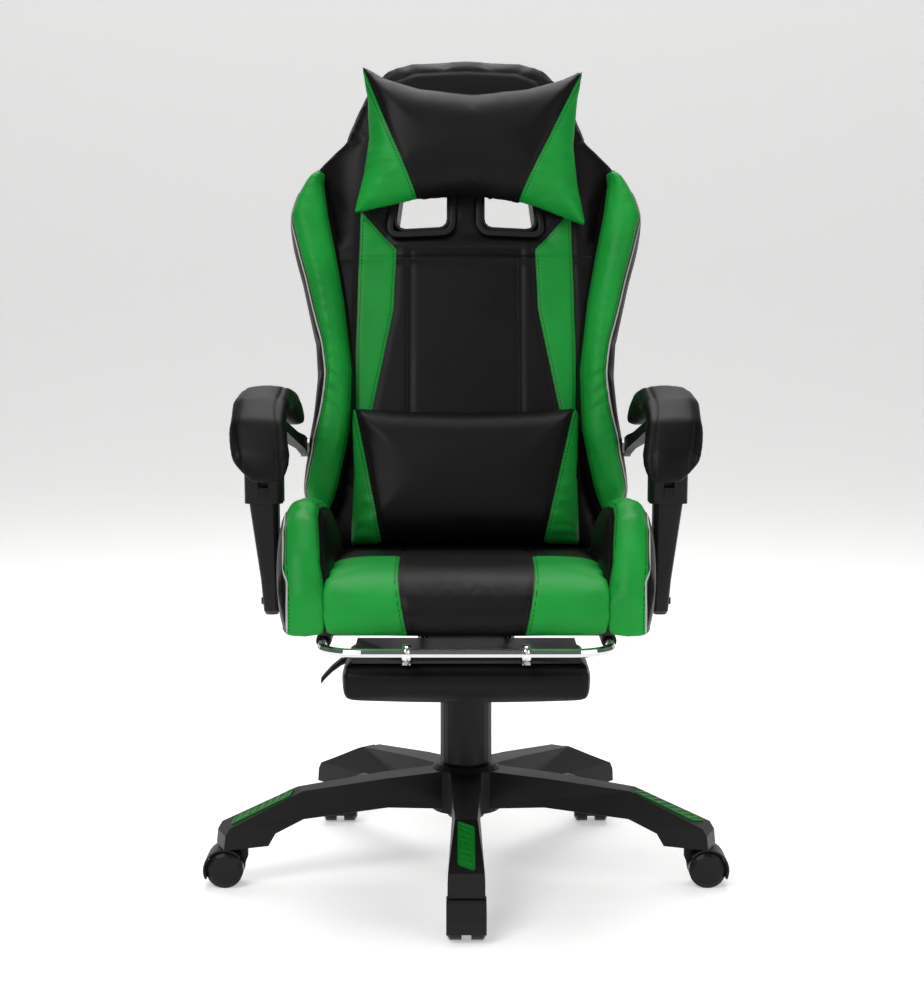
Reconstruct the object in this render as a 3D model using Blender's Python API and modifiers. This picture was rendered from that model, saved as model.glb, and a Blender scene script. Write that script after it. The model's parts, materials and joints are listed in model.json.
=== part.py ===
"""Gaming chair: five-star base on twin-wheel casters, gas lift, tilt mechanism, bucket seat, reclining back with
armrests on a parallel linkage, a slide-out footrest and two pillows.  Lengths are in metres and +Z is up.

Places are given in the column frame: the gas column's axis is X = 0, Y = 0, the floor is Z = 0, and the sitter
faces -Y.  The root empty then shifts the whole chair so that its footprint is centred on the origin.
"""
import math

import bmesh
import bpy
from mathutils import Matrix, Vector

# Overall
COLUMN_Y = -0.0244           # the column stands this far in front of the middle of the footprint
GAP = 0.0003                 # between pieces that touch
STEPS = 24                   # facets of a round piece
SMALL_STEPS = 12             # facets of a pin or a small boss

# Star base
LEG_COUNT = 5
STEM_CIRCLE = 0.320          # radius of the circle on which the casters stand
WHEEL_RADIUS = 0.025
FOOT_BOTTOM = 2 * WHEEL_RADIUS + 0.004
TUBE_RADIUS = 0.025          # of the gas column's outer tube, which stands in the hub
HUB_RADIUS = TUBE_RADIUS + 0.022
HUB_TOP = FOOT_BOTTOM + 0.091
HUB_BOTTOM = FOOT_BOTTOM + 0.027
LEG_WIDTH = 0.044            # at the hub
LEG_WAIST = 0.029            # width where the slope starts
FOOT_WIDTH = 0.047
LEG_KINK_RADIUS = STEM_CIRCLE - 0.083     # where a leg's top starts to slope down
LEG_KINK_HEIGHT = FOOT_BOTTOM + 0.071
LEG_TIP_HEIGHT = FOOT_BOTTOM + 0.029
LEG_TIP_OVERHANG = 0.026     # of the foot past the caster's stem
FOOT_LENGTH = 0.060

# Casters
WHEEL_WIDTH = 0.019
CASTER_WIDTH = 0.050
CASTER_OFFSET = 0.020        # of the axle from the stem
STEM_RADIUS = 0.0055
STEM_LENGTH = 0.030
HOOD_WALL = 0.0025
HOOD_CLEARANCE = 0.0013
WEB_THICKNESS = 0.008
WEB_RADIUS = 0.010           # round the axle, which leaves the two wheels apart below it
AXLE_RADIUS = 0.003
CASTER_HEADINGS = (-90, 0, -90, -90, 180)   # degrees from +X in which each caster trails, front leg first

# Gas column and its telescopic cover
TUBE_WALL = 0.0025
TUBE_BOTTOM = HUB_BOTTOM - 0.011
TUBE_TOP = 0.262
PISTON_RADIUS = 0.014
PISTON_BOTTOM = TUBE_BOTTOM + 0.015
PISTON_TOP = 0.318
BUSHING_LENGTH = 0.045
COVER_RADIUS = TUBE_RADIUS + 0.0105       # of the outermost sleeve
COVER_WALL = 0.002
COVER_STEP = 0.0026          # from one sleeve's radius to the next

# Tilt mechanism
HOUSING_BOTTOM = 0.300
HOUSING_WALL = 0.003
HOUSING_WIDTH = 0.110
HOUSING_FRONT = -0.085
HOUSING_REAR = 0.075
KNOB_RADIUS = 0.018
KNOB_Y = -(COVER_RADIUS + KNOB_RADIUS + 0.0045)   # just clear of the column's cover
TILT_PIVOT_Y = KNOB_Y - 0.012
TILT_PIVOT_Z = 0.337
TILT_PIN_RADIUS = 0.005
KNOB_BOTTOM = 0.262
LEVER_Y = -0.035
LEVER_Z = 0.303
LEVER_REACH = 0.198          # of the height lever's tip from the column
LEVER_DROP = 0.036

# Seat
SEAT_UNDERSIDE = 0.364       # underside of the steel seat frame
RAIL_SIZE = 0.020            # depth of the frame's tubes
RAIL_WIDTH = 0.022
FRAME_HALF_WIDTH = 0.194
FRAME_FRONT = -0.235
FRAME_REAR = 0.160
SEAT_SKIRT = 0.367           # lowest edge of the upholstery
CUSHION_HALF_WIDTH = 0.1765
CUSHION_FRONT = -0.268
SEAT_CREST = 0.445
SEAT_LOW = 0.424
BOLSTER_HALF_WIDTH = 0.243
BOLSTER_TOP = 0.529
BOLSTER_REAR = 0.120
PLATE_THICKNESS = 0.004

# Footrest
BAR_Y = -0.290
BAR_Z = 0.351
BAR_RADIUS = 0.006
SLIDE_HALF_WIDTH = 0.184
SLIDE_REAR = 0.130
BAR_CORNER = 0.052
FOOTREST_WIDTH = 0.313
FOOTREST_TOP = 0.339
FOOTREST_BOTTOM = 0.284
FOOTREST_FRONT = -0.270
FOOTREST_REAR = -0.100
BOARD_THICKNESS = 0.006

# Recliner and back
HINGE_Y = 0.190
HINGE_Z = 0.405
LEAN = math.radians(16)      # of the back from upright, at rest
RECLINER_PLATE = 0.004
RECLINER_RADIUS = 0.026
RECLINER_PIN = 0.006
RECLINER_COVER_RADIUS = 0.042
RECLINER_COVER_X = 0.226     # outer face of the cap over the hinge
BACK_REAR = -0.024           # the back's rear face, measured forward from the hinge, square to the back
BACK_PAD_REAR = 0.0128
BACK_PAD_FRONT = 0.050
HEAD_FRONT = 0.060
PANEL_THICKNESS = 0.0115
FRAME_TUBE = 0.011
FRAME_TUBE_X = 0.178
BACK_BOTTOM = 0.014          # the cushion's lower edge, up the back from the hinge
WING_BOTTOM = 0.046
BACK_LENGTH = 0.742          # from the hinge to the crown
HEAD_BOTTOM = BACK_LENGTH - 0.287         # the seam between the long cushion and the head cushion
HEAD_HALF_WIDTH = 0.204
WAIST = 0.258                # the back's narrowest place
SHOULDER = BACK_LENGTH - 0.164            # top of the wings
WINDOW_WALL = 0.004
PILLOW_GAP = 0.0025          # between a pillow and the cushion behind it
LUMBAR_WIDTH = 0.320
LUMBAR_HEIGHT = 0.189

# Armrests
ARM_PIN_Y = -0.010           # both links of an arm run from this far behind ...
ARM_PIN_Z = 0.165            # ... and this far above their lower pin
ARM_FOOT_Y = -0.020
ARM_FOOT_Z = 0.375
ARM_PIN_RADIUS = 0.005
ARM_X = BOLSTER_HALF_WIDTH + 0.0305
ARM_PIN_PLAY = 0.0006
KNUCKLE_WIDTH = 0.051
TONGUE_WIDTH = 0.012
SLOT_WIDTH = 0.014
LUG_X = 0.2345
LUG_WIDTH = 0.010
STUD_X = 0.2262              # inner face of the rear pin's flange, just outside the back's waist
STUD_FLANGE = 0.003
BRACKET_X = BOLSTER_HALF_WIDTH + 0.003    # inner face of the bracket's ear
BRACKET_EAR = 0.0045


# ---------------------------------------------------------------- scene and helpers

for old in list(bpy.data.objects):
    bpy.data.objects.remove(old, do_unlink=True)

chair = bpy.data.collections.new("gaming_chair")
cutters = bpy.data.collections.new("cutters")
bpy.context.scene.collection.children.link(chair)
bpy.context.scene.collection.children.link(cutters)

PLACES = {}
SIDE = {"r": -1, "l": 1}     # the sitter's right and left
IN_YZ = (math.pi / 2, 0, math.pi / 2)          # turns a flat outline's x, y to Y, Z
ON_BACK = (math.pi / 2 - LEAN, 0, 0)           # turns x, y, z to X, up the back, forward off the back


def linear(value):
    return value / 12.92 if value <= 0.04045 else ((value + 0.055) / 1.055) ** 2.4


def material(name, colour, roughness, metallic=0.0):
    made = bpy.data.materials.new(name)
    made.use_nodes = True
    shader = made.node_tree.nodes["Principled BSDF"]
    red, green, blue = (linear(int(colour[i:i + 2], 16) / 255) for i in (0, 2, 4))
    shader.inputs["Base Color"].default_value = (red, green, blue, 1)
    shader.inputs["Roughness"].default_value = roughness
    shader.inputs["Metallic"].default_value = metallic
    return made


NYLON = material("black_nylon", "2A2A29", 0.45)
BLACK_LEATHER = material("black_leatherette", "2B2A28", 0.5)
GREEN_LEATHER = material("green_leatherette", "2E9E48", 0.42)
STEEL = material("black_enamelled_steel", "1E1E1F", 0.4, 0.3)
BRIGHT_STEEL = material("bright_steel", "B9BBBD", 0.3, 1.0)
CHROME = material("chrome", "D8DADC", 0.1, 1.0)
BOARD = material("footrest_board", "3A3937", 0.7)
RUBBER = material("wheel_nylon", "1C1C1C", 0.5)


def pivot(name, y, z, parent=None, x=0.0):
    """An empty on a joint's axis, which carries the pieces that move with it."""
    empty = bpy.data.objects.new(name, None)
    chair.objects.link(empty)
    PLACES[name] = Vector((x, y, z))
    if parent:
        empty.parent = parent
        empty.location = PLACES[name] - PLACES[parent.name]
    return empty


def put(name, data, group, finish, at=(0, 0, 0), turn=(0, 0, 0)):
    """Places a piece whose mesh is drawn round the point `at` of the column frame."""
    piece = bpy.data.objects.new(name, data)
    chair.objects.link(piece)
    piece.parent = group
    piece.location = Vector(at) - PLACES[group.name]
    piece.rotation_euler = turn
    if not data.materials:
        data.materials.append(finish)
    return piece


def tool(name, data, at=(0, 0, 0), turn=(0, 0, 0)):
    """A body that is cut from another, or joined to it, and isn't a piece itself."""
    helper = bpy.data.objects.new(name, data)
    cutters.objects.link(helper)
    helper.parent = root
    helper.location = at
    helper.rotation_euler = turn
    helper.hide_render = True
    helper.display_type = "WIRE"
    return helper


def combine(piece, other, operation="DIFFERENCE"):
    modifier = piece.modifiers.new(other.name, "BOOLEAN")
    modifier.operation = operation
    modifier.object = other


def screw(piece, steps=STEPS):
    modifier = piece.modifiers.new("turned", "SCREW")
    modifier.steps = modifier.render_steps = steps
    modifier.use_merge_vertices = True
    modifier.merge_threshold = 0.00005
    return piece


def profile(name, points, closed=False):
    """A turned piece's outline of (radius, height), down the outer side."""
    mesh = bpy.data.meshes.new(name)
    edges = [(i, i + 1) for i in range(len(points) - 1)]
    if closed:
        edges.append((len(points) - 1, 0))
    mesh.from_pydata([(radius, 0, height) for radius, height in points], edges, [])
    return mesh


def sleeve(name, outer, inner, bottom, top):
    return profile(name, [(outer, top), (outer, bottom), (inner, bottom), (inner, top)], closed=True)


def rod(name, radius, bottom, top):
    return profile(name, [(0, top), (radius, top), (radius, bottom), (0, bottom)])


def cylinder(name, radius, length, steps=SMALL_STEPS):
    """A cylinder along X, centred on its own origin."""
    shape = bmesh.new()
    bmesh.ops.create_cone(shape, cap_ends=True, segments=steps, radius1=radius, radius2=radius, depth=length)
    bmesh.ops.rotate(shape, verts=shape.verts, matrix=Matrix.Rotation(math.pi / 2, 3, "Y"))
    return finished(name, shape)


def finished(name, shape):
    mesh = bpy.data.meshes.new(name)
    shape.to_mesh(mesh)
    shape.free()
    return mesh


def box(name, low, high):
    shape = bmesh.new()
    bmesh.ops.create_cube(shape, size=1)
    bmesh.ops.scale(shape, verts=shape.verts, vec=[high[i] - low[i] for i in range(3)])
    bmesh.ops.translate(shape, verts=shape.verts, vec=[(high[i] + low[i]) / 2 for i in range(3)])
    return finished(name, shape)


def rounded(corners, radius, arc_steps=3):
    """The corners' closed outline with each corner turned to an arc, as 2D points."""
    points = []
    for i, corner in enumerate(corners):
        here = Vector(corner)
        back = Vector(corners[i - 1]) - here
        ahead = Vector(corners[(i + 1) % len(corners)]) - here
        half = back.angle(ahead) / 2
        reach = min(radius / math.tan(half), back.length * 0.49, ahead.length * 0.49)
        start = here + back.normalized() * reach
        end = here + ahead.normalized() * reach
        middle = here + (back.normalized() + ahead.normalized()).normalized() * reach / math.cos(half)
        first = start - middle
        turn = first.angle_signed(end - middle)
        for step in range(arc_steps + 1):
            spun = Matrix.Rotation(-turn * step / arc_steps, 2) @ first
            points.append(tuple(middle + spun))
    return points


def circle(centre, radius, steps=STEPS):
    angles = [2 * math.pi * i / steps for i in range(steps)]
    return [(centre[0] + radius * math.cos(a), centre[1] + radius * math.sin(a)) for a in angles]


def plate(name, thickness, *outlines):
    """A flat curve, filled between its outlines and as thick as told."""
    curve = bpy.data.curves.new(name, "CURVE")
    curve.dimensions = "2D"
    curve.fill_mode = "BOTH"
    curve.extrude = thickness / 2
    for outline in outlines:
        spline = curve.splines.new("POLY")
        spline.points.add(len(outline) - 1)
        for point, (x, y) in zip(spline.points, outline):
            point.co = (x, y, 0, 1)
        spline.use_cyclic_u = True
    return curve


def pipe(name, points, radius, cyclic=False):
    curve = bpy.data.curves.new(name, "CURVE")
    curve.dimensions = "3D"
    curve.bevel_depth = radius
    curve.bevel_resolution = 2
    curve.use_fill_caps = not cyclic
    spline = curve.splines.new("POLY")
    spline.points.add(len(points) - 1)
    for point, place in zip(spline.points, points):
        point.co = (*place, 1)
    spline.use_cyclic_u = cyclic
    return curve


def as_mesh(name, data):
    """The closed mesh of a curve, for a Boolean."""
    temporary = bpy.data.objects.new(name, data)
    cutters.objects.link(temporary)
    graph = bpy.context.evaluated_depsgraph_get()
    mesh = bpy.data.meshes.new_from_object(temporary.evaluated_get(graph))
    shape = bmesh.new()
    shape.from_mesh(mesh)
    bmesh.ops.remove_doubles(shape, verts=shape.verts, dist=0.00001)
    bmesh.ops.recalc_face_normals(shape, faces=shape.faces)
    shape.to_mesh(mesh)
    shape.free()
    bpy.data.objects.remove(temporary)
    return mesh


def loft(name, rings):
    """A closed skin over rings of the same number of points."""
    shape = bmesh.new()
    rows = [[shape.verts.new(point) for point in ring] for ring in rings]
    count = len(rings[0])
    for low, high in zip(rows, rows[1:]):
        for i in range(count):
            shape.faces.new((low[i], low[(i + 1) % count], high[(i + 1) % count], high[i]))
    shape.faces.new(reversed(rows[0]))
    shape.faces.new(rows[-1])
    bmesh.ops.recalc_face_normals(shape, faces=shape.faces)
    if shape.calc_volume(signed=True) < 0:
        bmesh.ops.reverse_faces(shape, faces=shape.faces)
    return finished(name, shape)


def mirrored(points, side):
    return [(x * side, y, z) for x, y, z in points]


def smooth_between(stations, at):
    """Reads a list of (place, value) at any place, straight between its entries."""
    if at <= stations[0][0]:
        return stations[0][1]
    for (low, first), (high, last) in zip(stations, stations[1:]):
        if at <= high:
            return first + (last - first) * (at - low) / (high - low)
    return stations[-1][1]


# ---------------------------------------------------------------- bodies and their axes

root = pivot("chair_root", 0, 0)
root.location = (0, COLUMN_Y, 0)
sleeve_slide = pivot("sleeve_slide", 0, 0, root)
lift = pivot("lift_slide", 0, 0, root)
carrier = pivot("seat_swivel", 0, 0, lift)
knob_axis = pivot("tension_knob_axis", KNOB_Y, KNOB_BOTTOM, carrier)
bush_axis = pivot("lever_bush_axis", LEVER_Y, LEVER_Z, carrier, x=-HOUSING_WIDTH / 2)
lever_slide = pivot("lever_slide", LEVER_Y, LEVER_Z, bush_axis, x=-HOUSING_WIDTH / 2)
seat = pivot("tilt_axis", TILT_PIVOT_Y, TILT_PIVOT_Z, carrier)
recline_lever_axis = pivot("recline_lever_axis", HINGE_Y, HINGE_Z, seat)
footrest_slide = pivot("footrest_slide", BAR_Y, BAR_Z, seat)
footrest_flip = pivot("footrest_flip", BAR_Y, BAR_Z, footrest_slide)
back = pivot("recline_axis", HINGE_Y, HINGE_Z, seat)
neck_slide = pivot("neck_pillow_slide", HINGE_Y, HINGE_Z, back)
lumbar_slide = pivot("lumbar_pillow_slide", HINGE_Y, HINGE_Z, back)
arm_axis = {s: pivot(f"arm_axis_{s}", HINGE_Y + ARM_PIN_Y, HINGE_Z + ARM_PIN_Z, back) for s in SIDE}
leg_axis = {s: pivot(f"arm_leg_axis_{s}", ARM_FOOT_Y, ARM_FOOT_Z, seat) for s in SIDE}


def leg_direction(number):
    """Leg 1 points to the front, and the rest follow towards the sitter's left."""
    angle = -math.pi / 2 + 2 * math.pi * number / LEG_COUNT
    return Vector((math.cos(angle), math.sin(angle), 0))


stems = [leg_direction(number) * STEM_CIRCLE for number in range(LEG_COUNT)]
caster_axis = [pivot(f"caster_axis_{i + 1}", p.y, FOOT_BOTTOM, root, x=p.x) for i, p in enumerate(stems)]


# ---------------------------------------------------------------- star base

def leg_outline():
    tip = STEM_CIRCLE + LEG_TIP_OVERHANG
    heel = tip - FOOT_LENGTH
    return [
        (0, HUB_TOP - 0.004), (LEG_KINK_RADIUS * 0.5, HUB_TOP - 0.010), (LEG_KINK_RADIUS, LEG_KINK_HEIGHT),
        (tip - 0.006, LEG_TIP_HEIGHT), (tip, LEG_TIP_HEIGHT - 0.010), (tip + 0.002, FOOT_BOTTOM),
        (heel, FOOT_BOTTOM), (heel - 0.010, FOOT_BOTTOM + 0.016), (heel - 0.050, FOOT_BOTTOM + 0.032),
        (LEG_KINK_RADIUS * 0.5, FOOT_BOTTOM + 0.040), (0, HUB_BOTTOM + 0.002),
    ]


def star_base():
    hub = profile("star_base", [
        (0, HUB_TOP), (HUB_RADIUS - 0.006, HUB_TOP), (HUB_RADIUS, HUB_TOP - 0.006), (HUB_RADIUS, HUB_BOTTOM),
        (0, HUB_BOTTOM),
    ])
    piece = screw(put("star_base", hub, root, NYLON))
    leg_mesh = as_mesh("leg", plate("leg_outline", 1, leg_outline()))
    widths = [(0, LEG_WIDTH), (HUB_RADIUS, LEG_WIDTH), (LEG_KINK_RADIUS, LEG_WAIST),
              (STEM_CIRCLE + LEG_TIP_OVERHANG, FOOT_WIDTH)]
    for vertex in leg_mesh.vertices:
        vertex.co.z *= smooth_between(widths, vertex.co.x)
    for number, stem in enumerate(stems):
        angle = math.atan2(stem.y, stem.x)
        turn = (math.pi / 2, 0, angle)
        combine(piece, tool(f"leg_{number + 1}", leg_mesh, turn=turn), "UNION")
    bore = screw(tool("column_bore", rod("column_bore", TUBE_RADIUS + GAP, 0, 1)))
    combine(piece, bore)
    socket_mesh = rod("socket", STEM_RADIUS + GAP, -0.01, STEM_LENGTH - 0.004)
    for number, stem in enumerate(stems):
        socket = screw(tool(f"socket_{number + 1}", socket_mesh, at=(stem.x, stem.y, FOOT_BOTTOM)), SMALL_STEPS)
        combine(piece, socket)


star_base()


# ---------------------------------------------------------------- casters

def caster_hood():
    """A fork drawn with its stem on Z and trailing along +X: web, arched hood, boss and stem in one moulding."""
    axle_z = WHEEL_RADIUS - FOOT_BOTTOM
    inner = WHEEL_RADIUS + HOOD_CLEARANCE
    outer = inner + HOOD_WALL
    top = -0.0015
    web = circle((CASTER_OFFSET, axle_z), WEB_RADIUS)
    arch_angles = [math.radians(-25 + 165 * i / 14) for i in range(15)]
    arch = [(CASTER_OFFSET + outer * math.cos(a), min(axle_z + outer * math.sin(a), top)) for a in arch_angles]
    arch += [(CASTER_OFFSET + inner * math.cos(a), axle_z + inner * math.sin(a)) for a in reversed(arch_angles)]
    body = bpy.data.objects.new("hood_body", as_mesh("hood_arch", plate("arch", CASTER_WIDTH, arch)))
    neck = [(-0.010, top), (0.020, top), (0.020, axle_z), (-0.004, axle_z), (-0.010, axle_z + 0.014)]
    additions = {
        "hood_web": as_mesh("hood_web", plate("web", WEB_THICKNESS, web)),
        "hood_neck": as_mesh("hood_neck", plate("neck", WEB_THICKNESS + 0.001, neck)),
    }
    cutters.objects.link(body)
    body.rotation_euler = (math.pi / 2, 0, 0)
    helpers = [bpy.data.objects.new(name, mesh) for name, mesh in additions.items()]
    for helper in helpers:
        helper.rotation_euler = (math.pi / 2, 0, 0)
    stem = screw(bpy.data.objects.new("hood_stem", profile("hood_stem", [
        (0, STEM_LENGTH - 0.006), (STEM_RADIUS, STEM_LENGTH - 0.006), (STEM_RADIUS, -0.0008), (0.010, -0.0008),
        (0.010, -0.0033), (0, -0.0033)])), SMALL_STEPS)
    bore = bpy.data.objects.new("axle_bore", cylinder("axle_bore", AXLE_RADIUS + 0.0006, 0.03))
    bore.rotation_euler = (0, 0, math.pi / 2)
    bore.location = (CASTER_OFFSET, 0, axle_z)
    for helper in (*helpers, stem, bore):
        cutters.objects.link(helper)
        combine(body, helper, "DIFFERENCE" if helper is bore else "UNION")
    evaluated = body.evaluated_get(bpy.context.evaluated_depsgraph_get())
    mesh = bpy.data.meshes.new_from_object(evaluated)
    mesh.transform(evaluated.matrix_world)
    for helper in (body, *helpers, stem, bore):
        bpy.data.objects.remove(helper)
    return mesh


def wheelset():
    half = CASTER_WIDTH / 2
    inner = half - WHEEL_WIDTH
    return profile("wheelset", [
        (0, half), (WHEEL_RADIUS - 0.006, half), (WHEEL_RADIUS, half - 0.004), (WHEEL_RADIUS, inner),
        (AXLE_RADIUS, inner), (AXLE_RADIUS, -inner), (WHEEL_RADIUS, -inner), (WHEEL_RADIUS, 0.004 - half),
        (WHEEL_RADIUS - 0.006, -half), (0, -half),
    ])


def casters():
    hood, wheels = caster_hood(), wheelset()
    for number, stem in enumerate(stems):
        heading = math.radians(CASTER_HEADINGS[number])
        trail = Vector((math.cos(heading), math.sin(heading), 0)) * CASTER_OFFSET
        group = caster_axis[number]
        put(f"caster_fork_{number + 1}", hood, group, NYLON, (stem.x, stem.y, FOOT_BOTTOM), (0, 0, heading))
        spin = pivot(f"wheel_axis_{number + 1}", stem.y + trail.y, WHEEL_RADIUS, group, x=stem.x + trail.x)
        turn = (math.pi / 2, 0, heading)
        screw(put(f"caster_wheels_{number + 1}", wheels, spin, RUBBER, PLACES[spin.name], turn))


casters()


# ---------------------------------------------------------------- gas column

def gas_column():
    bore = TUBE_RADIUS - TUBE_WALL
    screw(put("gas_tube", profile("gas_tube", [
        (TUBE_RADIUS, TUBE_TOP), (TUBE_RADIUS, TUBE_BOTTOM), (0, TUBE_BOTTOM), (0, TUBE_BOTTOM + 0.005),
        (bore, TUBE_BOTTOM + 0.005), (bore, TUBE_TOP), (TUBE_RADIUS, TUBE_TOP)]), root, STEEL))
    screw(put("gas_bushing", sleeve("gas_bushing", bore - GAP, PISTON_RADIUS + GAP, TUBE_TOP - BUSHING_LENGTH,
                                    TUBE_TOP), root, NYLON))
    screw(put("gas_piston", profile("gas_piston", [
        (0, PISTON_TOP), (PISTON_RADIUS - 0.001, PISTON_TOP), (PISTON_RADIUS, PISTON_TOP - 0.030),
        (PISTON_RADIUS, PISTON_BOTTOM), (0, PISTON_BOTTOM)]), lift, BRIGHT_STEEL))
    rings = [COVER_RADIUS - COVER_STEP * i for i in range(3)]
    screw(put("cover_upper", sleeve("cover_upper", rings[0], rings[0] - COVER_WALL, HUB_TOP + 0.004,
                                    HOUSING_BOTTOM - 0.0015), lift, NYLON))
    screw(put("cover_middle", sleeve("cover_middle", rings[1], rings[1] - COVER_WALL, HUB_TOP + 0.003,
                                     HOUSING_BOTTOM - 0.015), sleeve_slide, NYLON))
    screw(put("cover_lower", sleeve("cover_lower", rings[2], rings[2] - COVER_WALL, HUB_TOP + GAP,
                                    TUBE_TOP + 0.008), root, NYLON))


gas_column()


# ---------------------------------------------------------------- tilt mechanism

def tilt_housing():
    half = HOUSING_WIDTH / 2
    floor = box("tilt_housing", (-half, HOUSING_FRONT, HOUSING_BOTTOM),
                (half, HOUSING_REAR, HOUSING_BOTTOM + HOUSING_WALL))
    piece = put("tilt_housing", floor, carrier, STEEL)
    wall = [(HOUSING_FRONT, HOUSING_BOTTOM + 0.001), (HOUSING_REAR, HOUSING_BOTTOM + 0.001),
            (HOUSING_REAR, HOUSING_BOTTOM + 0.012), (-0.030, TILT_PIVOT_Z + 0.008),
            (HOUSING_FRONT, TILT_PIVOT_Z + 0.008)]
    wall_mesh = as_mesh("housing_wall", plate("housing_wall", HOUSING_WALL, wall))
    for side in (-1, 1):
        at = (side * (half - HOUSING_WALL / 2), 0, 0)
        combine(piece, tool(f"housing_wall_{side}", wall_mesh, at=at, turn=IN_YZ), "UNION")
    boss = screw(tool("housing_boss", rod("boss", PISTON_RADIUS + 0.008, HOUSING_BOTTOM + 0.001,
                                          HOUSING_BOTTOM + 0.022)))
    combine(piece, boss, "UNION")
    combine(piece, screw(tool("piston_seat", rod("piston_seat", PISTON_RADIUS + GAP, 0.2, 0.5))))
    combine(piece, screw(tool("bolt_hole", rod("bolt_hole", 0.0046, 0.2, 0.5), at=(0, KNOB_Y, 0)), SMALL_STEPS))
    pin_hole = cylinder("pin_hole", TILT_PIN_RADIUS + GAP, HOUSING_WIDTH + 0.02)
    combine(piece, tool("pin_hole", pin_hole, at=(0, TILT_PIVOT_Y, TILT_PIVOT_Z)))


def tilt_plate():
    top = SEAT_UNDERSIDE - GAP
    bottom = top - PLATE_THICKNESS
    piece = put("tilt_plate", box("tilt_plate", (-0.100, -0.105, bottom), (0.100, 0.100, top)), seat, STEEL)
    inner = HOUSING_WIDTH / 2 + 0.0015
    for side in (-1, 1):
        low = min(side * inner, side * (inner + 0.004))
        ear = box("tilt_ear", (low, TILT_PIVOT_Y - 0.018, TILT_PIVOT_Z - 0.012),
                  (low + 0.004, TILT_PIVOT_Y + 0.018, top - 0.001))
        combine(piece, tool(f"tilt_ear_{side}", ear), "UNION")
    hole = cylinder("ear_hole", TILT_PIN_RADIUS + GAP, HOUSING_WIDTH + 0.04)
    combine(piece, tool("ear_hole", hole, at=(0, TILT_PIVOT_Y, TILT_PIVOT_Z)))


def tension_knob():
    """The knob and the bolt that it turns, which draws the tilt spring tight."""
    bolt_top = TILT_PIVOT_Z - 0.004
    screw(put("tension_knob", profile("tension_knob", [
        (0, bolt_top), (0.004, bolt_top), (0.004, HOUSING_BOTTOM - 0.008), (KNOB_RADIUS - 0.004,
                                                                           HOUSING_BOTTOM - 0.008),
        (KNOB_RADIUS, HOUSING_BOTTOM - 0.014), (KNOB_RADIUS, KNOB_BOTTOM + 0.003),
        (KNOB_RADIUS - 0.003, KNOB_BOTTOM), (0, KNOB_BOTTOM)]), knob_axis, NYLON, at=(0, KNOB_Y, 0)))


def height_lever():
    wall = -HOUSING_WIDTH / 2
    along = (0, -math.pi / 2, 0)
    screw(put("lever_bush", sleeve("lever_bush", 0.0085, 0.0044, 0.0015, 0.015), bush_axis, STEEL,
              (wall, LEVER_Y, LEVER_Z), along), SMALL_STEPS)
    screw(put("lever_rod", rod("lever_rod", 0.004, 0.001, 0.105), lever_slide, STEEL,
              (wall, LEVER_Y, LEVER_Z), along), SMALL_STEPS)
    tip = -LEVER_REACH
    root_x = wall - 0.082
    # The grip is a flat paddle that curves down, with a blind socket for the rod.
    rings = []
    for share in (0.0, 0.3, 0.55, 0.75, 0.9, 1.0):
        x = root_x + (tip - root_x) * share
        drop = LEVER_DROP * share ** 2.2
        half_width = 0.010 + 0.005 * math.sin(math.pi * share)
        half_height = 0.0065 - 0.002 * share
        z = LEVER_Z - drop
        rings.append([(x, LEVER_Y + half_width * math.cos(a), z + half_height * math.sin(a))
                      for a in [2 * math.pi * i / 10 for i in range(10)]])
    grip = put("lever_grip", loft("lever_grip", rings), lever_slide, NYLON)
    socket = cylinder("grip_socket", 0.004 + GAP, 0.050, 10)
    combine(grip, tool("grip_socket", socket, at=(wall - 0.105 - 0.0005 + 0.025, LEVER_Y, LEVER_Z)))


tilt_housing()
screw(put("tilt_pin", rod("tilt_pin", TILT_PIN_RADIUS, -HOUSING_WIDTH / 2 - 0.010, HOUSING_WIDTH / 2 + 0.010),
          carrier, BRIGHT_STEEL, (0, TILT_PIVOT_Y, TILT_PIVOT_Z), (0, math.pi / 2, 0)), SMALL_STEPS)
tilt_plate()
tension_knob()
height_lever()


# ---------------------------------------------------------------- seat

def seat_frame():
    """A welded ladder of square tube: two rails and four cross members."""
    edge = FRAME_HALF_WIDTH
    outer = rounded([(-edge, FRAME_FRONT), (edge, FRAME_FRONT), (edge, FRAME_REAR), (-edge, FRAME_REAR)], 0.02)
    inside = edge - RAIL_WIDTH
    length = FRAME_REAR - FRAME_FRONT
    bay = (length - 4 * RAIL_WIDTH) / 3
    holes = []
    for number in range(3):
        low = FRAME_FRONT + RAIL_WIDTH + number * (bay + RAIL_WIDTH)
        corners = [(-inside, low), (inside, low), (inside, low + bay), (-inside, low + bay)]
        holes.append(rounded(corners, 0.006, 2))
    put("seat_frame", plate("seat_frame", RAIL_SIZE, outer, *holes), seat, STEEL,
        (0, 0, SEAT_UNDERSIDE + RAIL_SIZE / 2))


def seat_cushion():
    """Foam under leatherette; its front roll hangs down in front of the frame."""
    floor = SEAT_UNDERSIDE + RAIL_SIZE + GAP
    behind_frame = FRAME_FRONT - GAP * 3
    side = [(FRAME_REAR - 0.002, floor), (behind_frame, floor), (behind_frame, SEAT_SKIRT),
            (CUSHION_FRONT + 0.005, SEAT_SKIRT), (CUSHION_FRONT, 0.395), (CUSHION_FRONT + 0.006, 0.418),
            (CUSHION_FRONT + 0.022, 0.433), (-0.200, 0.442), (-0.130, SEAT_CREST), (0.000, 0.434),
            (0.080, SEAT_LOW), (FRAME_REAR - 0.002, SEAT_LOW)]
    width = 2 * (CUSHION_HALF_WIDTH - GAP)
    put("seat_cushion", plate("seat_cushion", width, side), seat, BLACK_LEATHER, (0, 0, 0), IN_YZ)


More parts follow.
